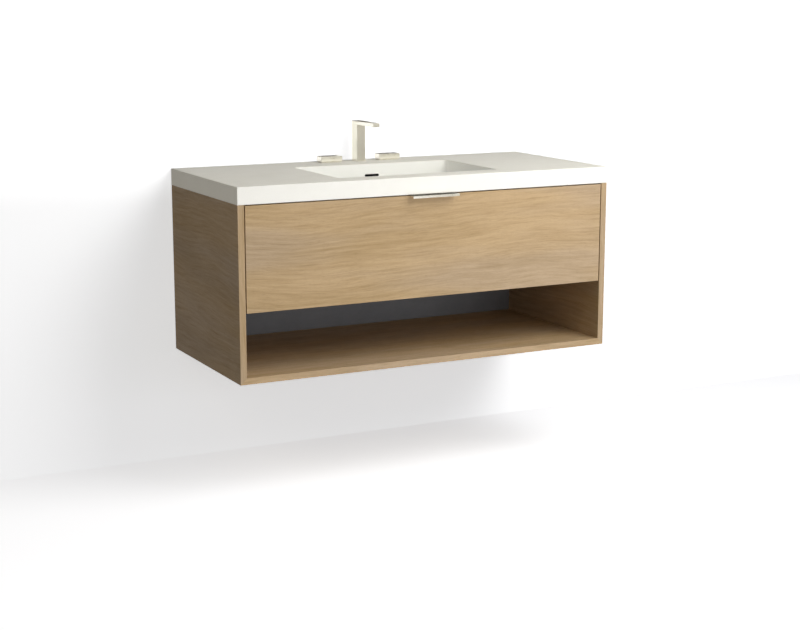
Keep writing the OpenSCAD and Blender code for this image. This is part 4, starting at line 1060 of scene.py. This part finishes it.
wall_white = make_stage_white("wall_white", paint=1.35, glow=0.59, looks_to=(0, -0.1, 1))
floor_white = make_stage_white("floor_white", paint=0.99, glow=0.48, looks_to=(0, 0, 1))
wall = stage_plane("studio_wall", (0, WALL_GAP, FLOOR_Z + STAGE_REACH),
    (math.radians(90), 0, 0), wall_white)
floor = stage_plane("studio_floor", (0, WALL_GAP - STAGE_REACH, FLOOR_Z), (0, 0, 0),
    floor_white)
print("stage:", wall.name, floor.name)

# %% [markdown]
# ## Cards for the metal
#
# Bright metal shows whatever surrounds it. In an all-white studio it would look like white
# plastic, so photographers put dark and light cards where the metal's faces look. The
# spout's front faces look at a warm grey card out in front. The flat tops look at dark
# strips before the wall, and the pull's top at a dark strip before the slab. White cards
# keep the spout's left side and the handles' fronts light. A card shows in reflections
# only: it is hidden from the camera and from all other rays.

# %% Cards for the metal
def card(name, low, high, colour):
    low, high = Vector(low), Vector(high)
    size = high - low
    stands = size.y == 0
    bpy.ops.object.select_all(action="DESELECT")
    bpy.ops.mesh.primitive_plane_add(size=1, location=(low + high) / 2,
        rotation=(math.radians(90) if stands else 0, 0, 0))
    made = bpy.context.object
    made.name = "card_" + name
    made.scale = (size.x, size.z if stands else size.y, 1)
    material = bpy.data.materials.new(made.name)
    material.use_nodes = True
    tree = material.node_tree
    tree.nodes.clear()
    glow = node(tree, "Emission", Color=colour, Strength=1.0)
    tree.links.new(glow.outputs[0], tree.nodes.new("ShaderNodeOutputMaterial").inputs[0])
    made.data.materials.append(material)
    for kind in ("camera", "diffuse", "transmission", "shadow", "volume_scatter"):
        setattr(made, "visible_" + kind, False)


WARM_GREY = (0.56, 0.53, 0.445, 1)
DARK = (0.16, 0.15, 0.13, 1)
DARKEST = (0.07, 0.07, 0.06, 1)
WHITE = (1.08, 1.08, 1.02, 1)
BRIGHT = (1.25, 1.23, 1.12, 1)
WALL_CARD_Y = -4 * MM
ARM_CARD_GAP = 3.5 * MM
ARM_CARD_TALL = 88 * MM
HANDLE_CARD_GAP = 1 * MM
HANDLE_CARD_TALL = 40 * MM
DECK_CARD_GAP = 0.75 * MM
DECK_CARD_FRONT = -0.14
HANDLE_FRONT_GAP = 5 * MM
SLAB_CARD_GAP = 0.7 * MM
SLAB_CARD_TALL = 24.4 * MM
PULL_MARGIN = 2 * MM

handle_low, handle_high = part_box("hot_handle")
strips_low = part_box("edge_strips")[0]

arm_card_z = spout_high.z + ARM_CARD_GAP
handle_card_z = handle_high.z + HANDLE_CARD_GAP
deck_card_z = deck_top + DECK_CARD_GAP
slab_card_y = strips_low.y - SLAB_CARD_GAP

card("in_front", (0.48, -1.5, -0.35), (1.15, -1.5, 0.75), WARM_GREY)
card("behind_arm", (-0.06, WALL_CARD_Y, arm_card_z),
    (0.20, WALL_CARD_Y, arm_card_z + ARM_CARD_TALL), DARK)
card("beside_column", (-0.056, WALL_CARD_Y, 0.19), (-0.022, WALL_CARD_Y, 0.33), WHITE)
card("before_slab", (pull_low.x - PULL_MARGIN, slab_card_y, strips_low.z),
    (pull_high.x + PULL_MARGIN, slab_card_y, strips_low.z + SLAB_CARD_TALL), DARKEST)
for side, left, right in (("hot", -0.16, -0.057), ("cold", 0.06, 0.20)):
    card("behind_%s_handle" % side, (left, WALL_CARD_Y, handle_card_z),
        (right, WALL_CARD_Y, handle_card_z + HANDLE_CARD_TALL), DARK)
for side, left, right in (("hot", -0.15, -0.03), ("cold", 0.05, 0.19)):
    card("before_%s_handle" % side, (left, DECK_CARD_FRONT, deck_card_z),
        (right, handle_low.y - HANDLE_FRONT_GAP, deck_card_z), BRIGHT)
print("cards stand")

# %% [markdown]
# ## Light
#
# A soft, slightly warm key light stands in front, to the right and high up. It gives the
# shadow on the wall and makes the right end of the top brighter than the left. A larger,
# slightly cool lamp stands far in front, a little below the cabinet. It fills the fronts
# and the shelf, so they are brighter than the top. A weak warm lamp on the left lifts the
# end of the slab, and the world fills the rest a little. The metal shows the cards and the
# white studio, so all lamps are left out of reflections.

# %% Key, side and front light, and world
AIM = Vector((0, -0.3, -0.1))
FILL_LEVEL = 0.165
KEY_WARM = (1.0, 0.988, 0.92)
SIDE_WARM = (1.0, 0.92, 0.73)
FRONT_COOL = (0.98, 1.0, 1.06)


def soft_lamp(name, way, distance, size, watts, colour):
    way = Vector(way).normalized()
    bpy.ops.object.light_add(type="AREA", location=AIM + way * distance)
    lamp = bpy.context.object
    lamp.name = name
    lamp.data.shape = "SQUARE"
    lamp.data.size = size
    lamp.data.energy = watts
    lamp.data.color = colour
    lamp.rotation_euler = way.to_track_quat("Z", "Y").to_euler()
    lamp.visible_glossy = False
    return lamp


key_light = soft_lamp("key_light", (0.386, -0.647, 0.657), distance=2.7, size=2.0,
    watts=52, colour=KEY_WARM)
side_light = soft_lamp("side_light", (-0.9, -0.25, 0.40), distance=4.0, size=3.0,
    watts=22, colour=SIDE_WARM)
front_light = soft_lamp("front_light", (0.3, -0.94, -0.15), distance=5.0, size=4.0,
    watts=138, colour=FRONT_COOL)

world = bpy.data.worlds.new("studio_world")
bpy.context.scene.world = world
world.use_nodes = True
tree = world.node_tree
tree.nodes.clear()
fill = node(tree, "Background", Color=PURE_WHITE, Strength=FILL_LEVEL)
white = node(tree, "Background", Color=PURE_WHITE, Strength=1.0)
shown = mix_shaders(tree, seen_rays(tree), fill.outputs[0], white.outputs[0])
node(tree, "OutputWorld", Surface=shown)
bpy.context.scene.view_settings.view_transform = "Standard"
print("lamps:", key_light.name, side_light.name, front_light.name)
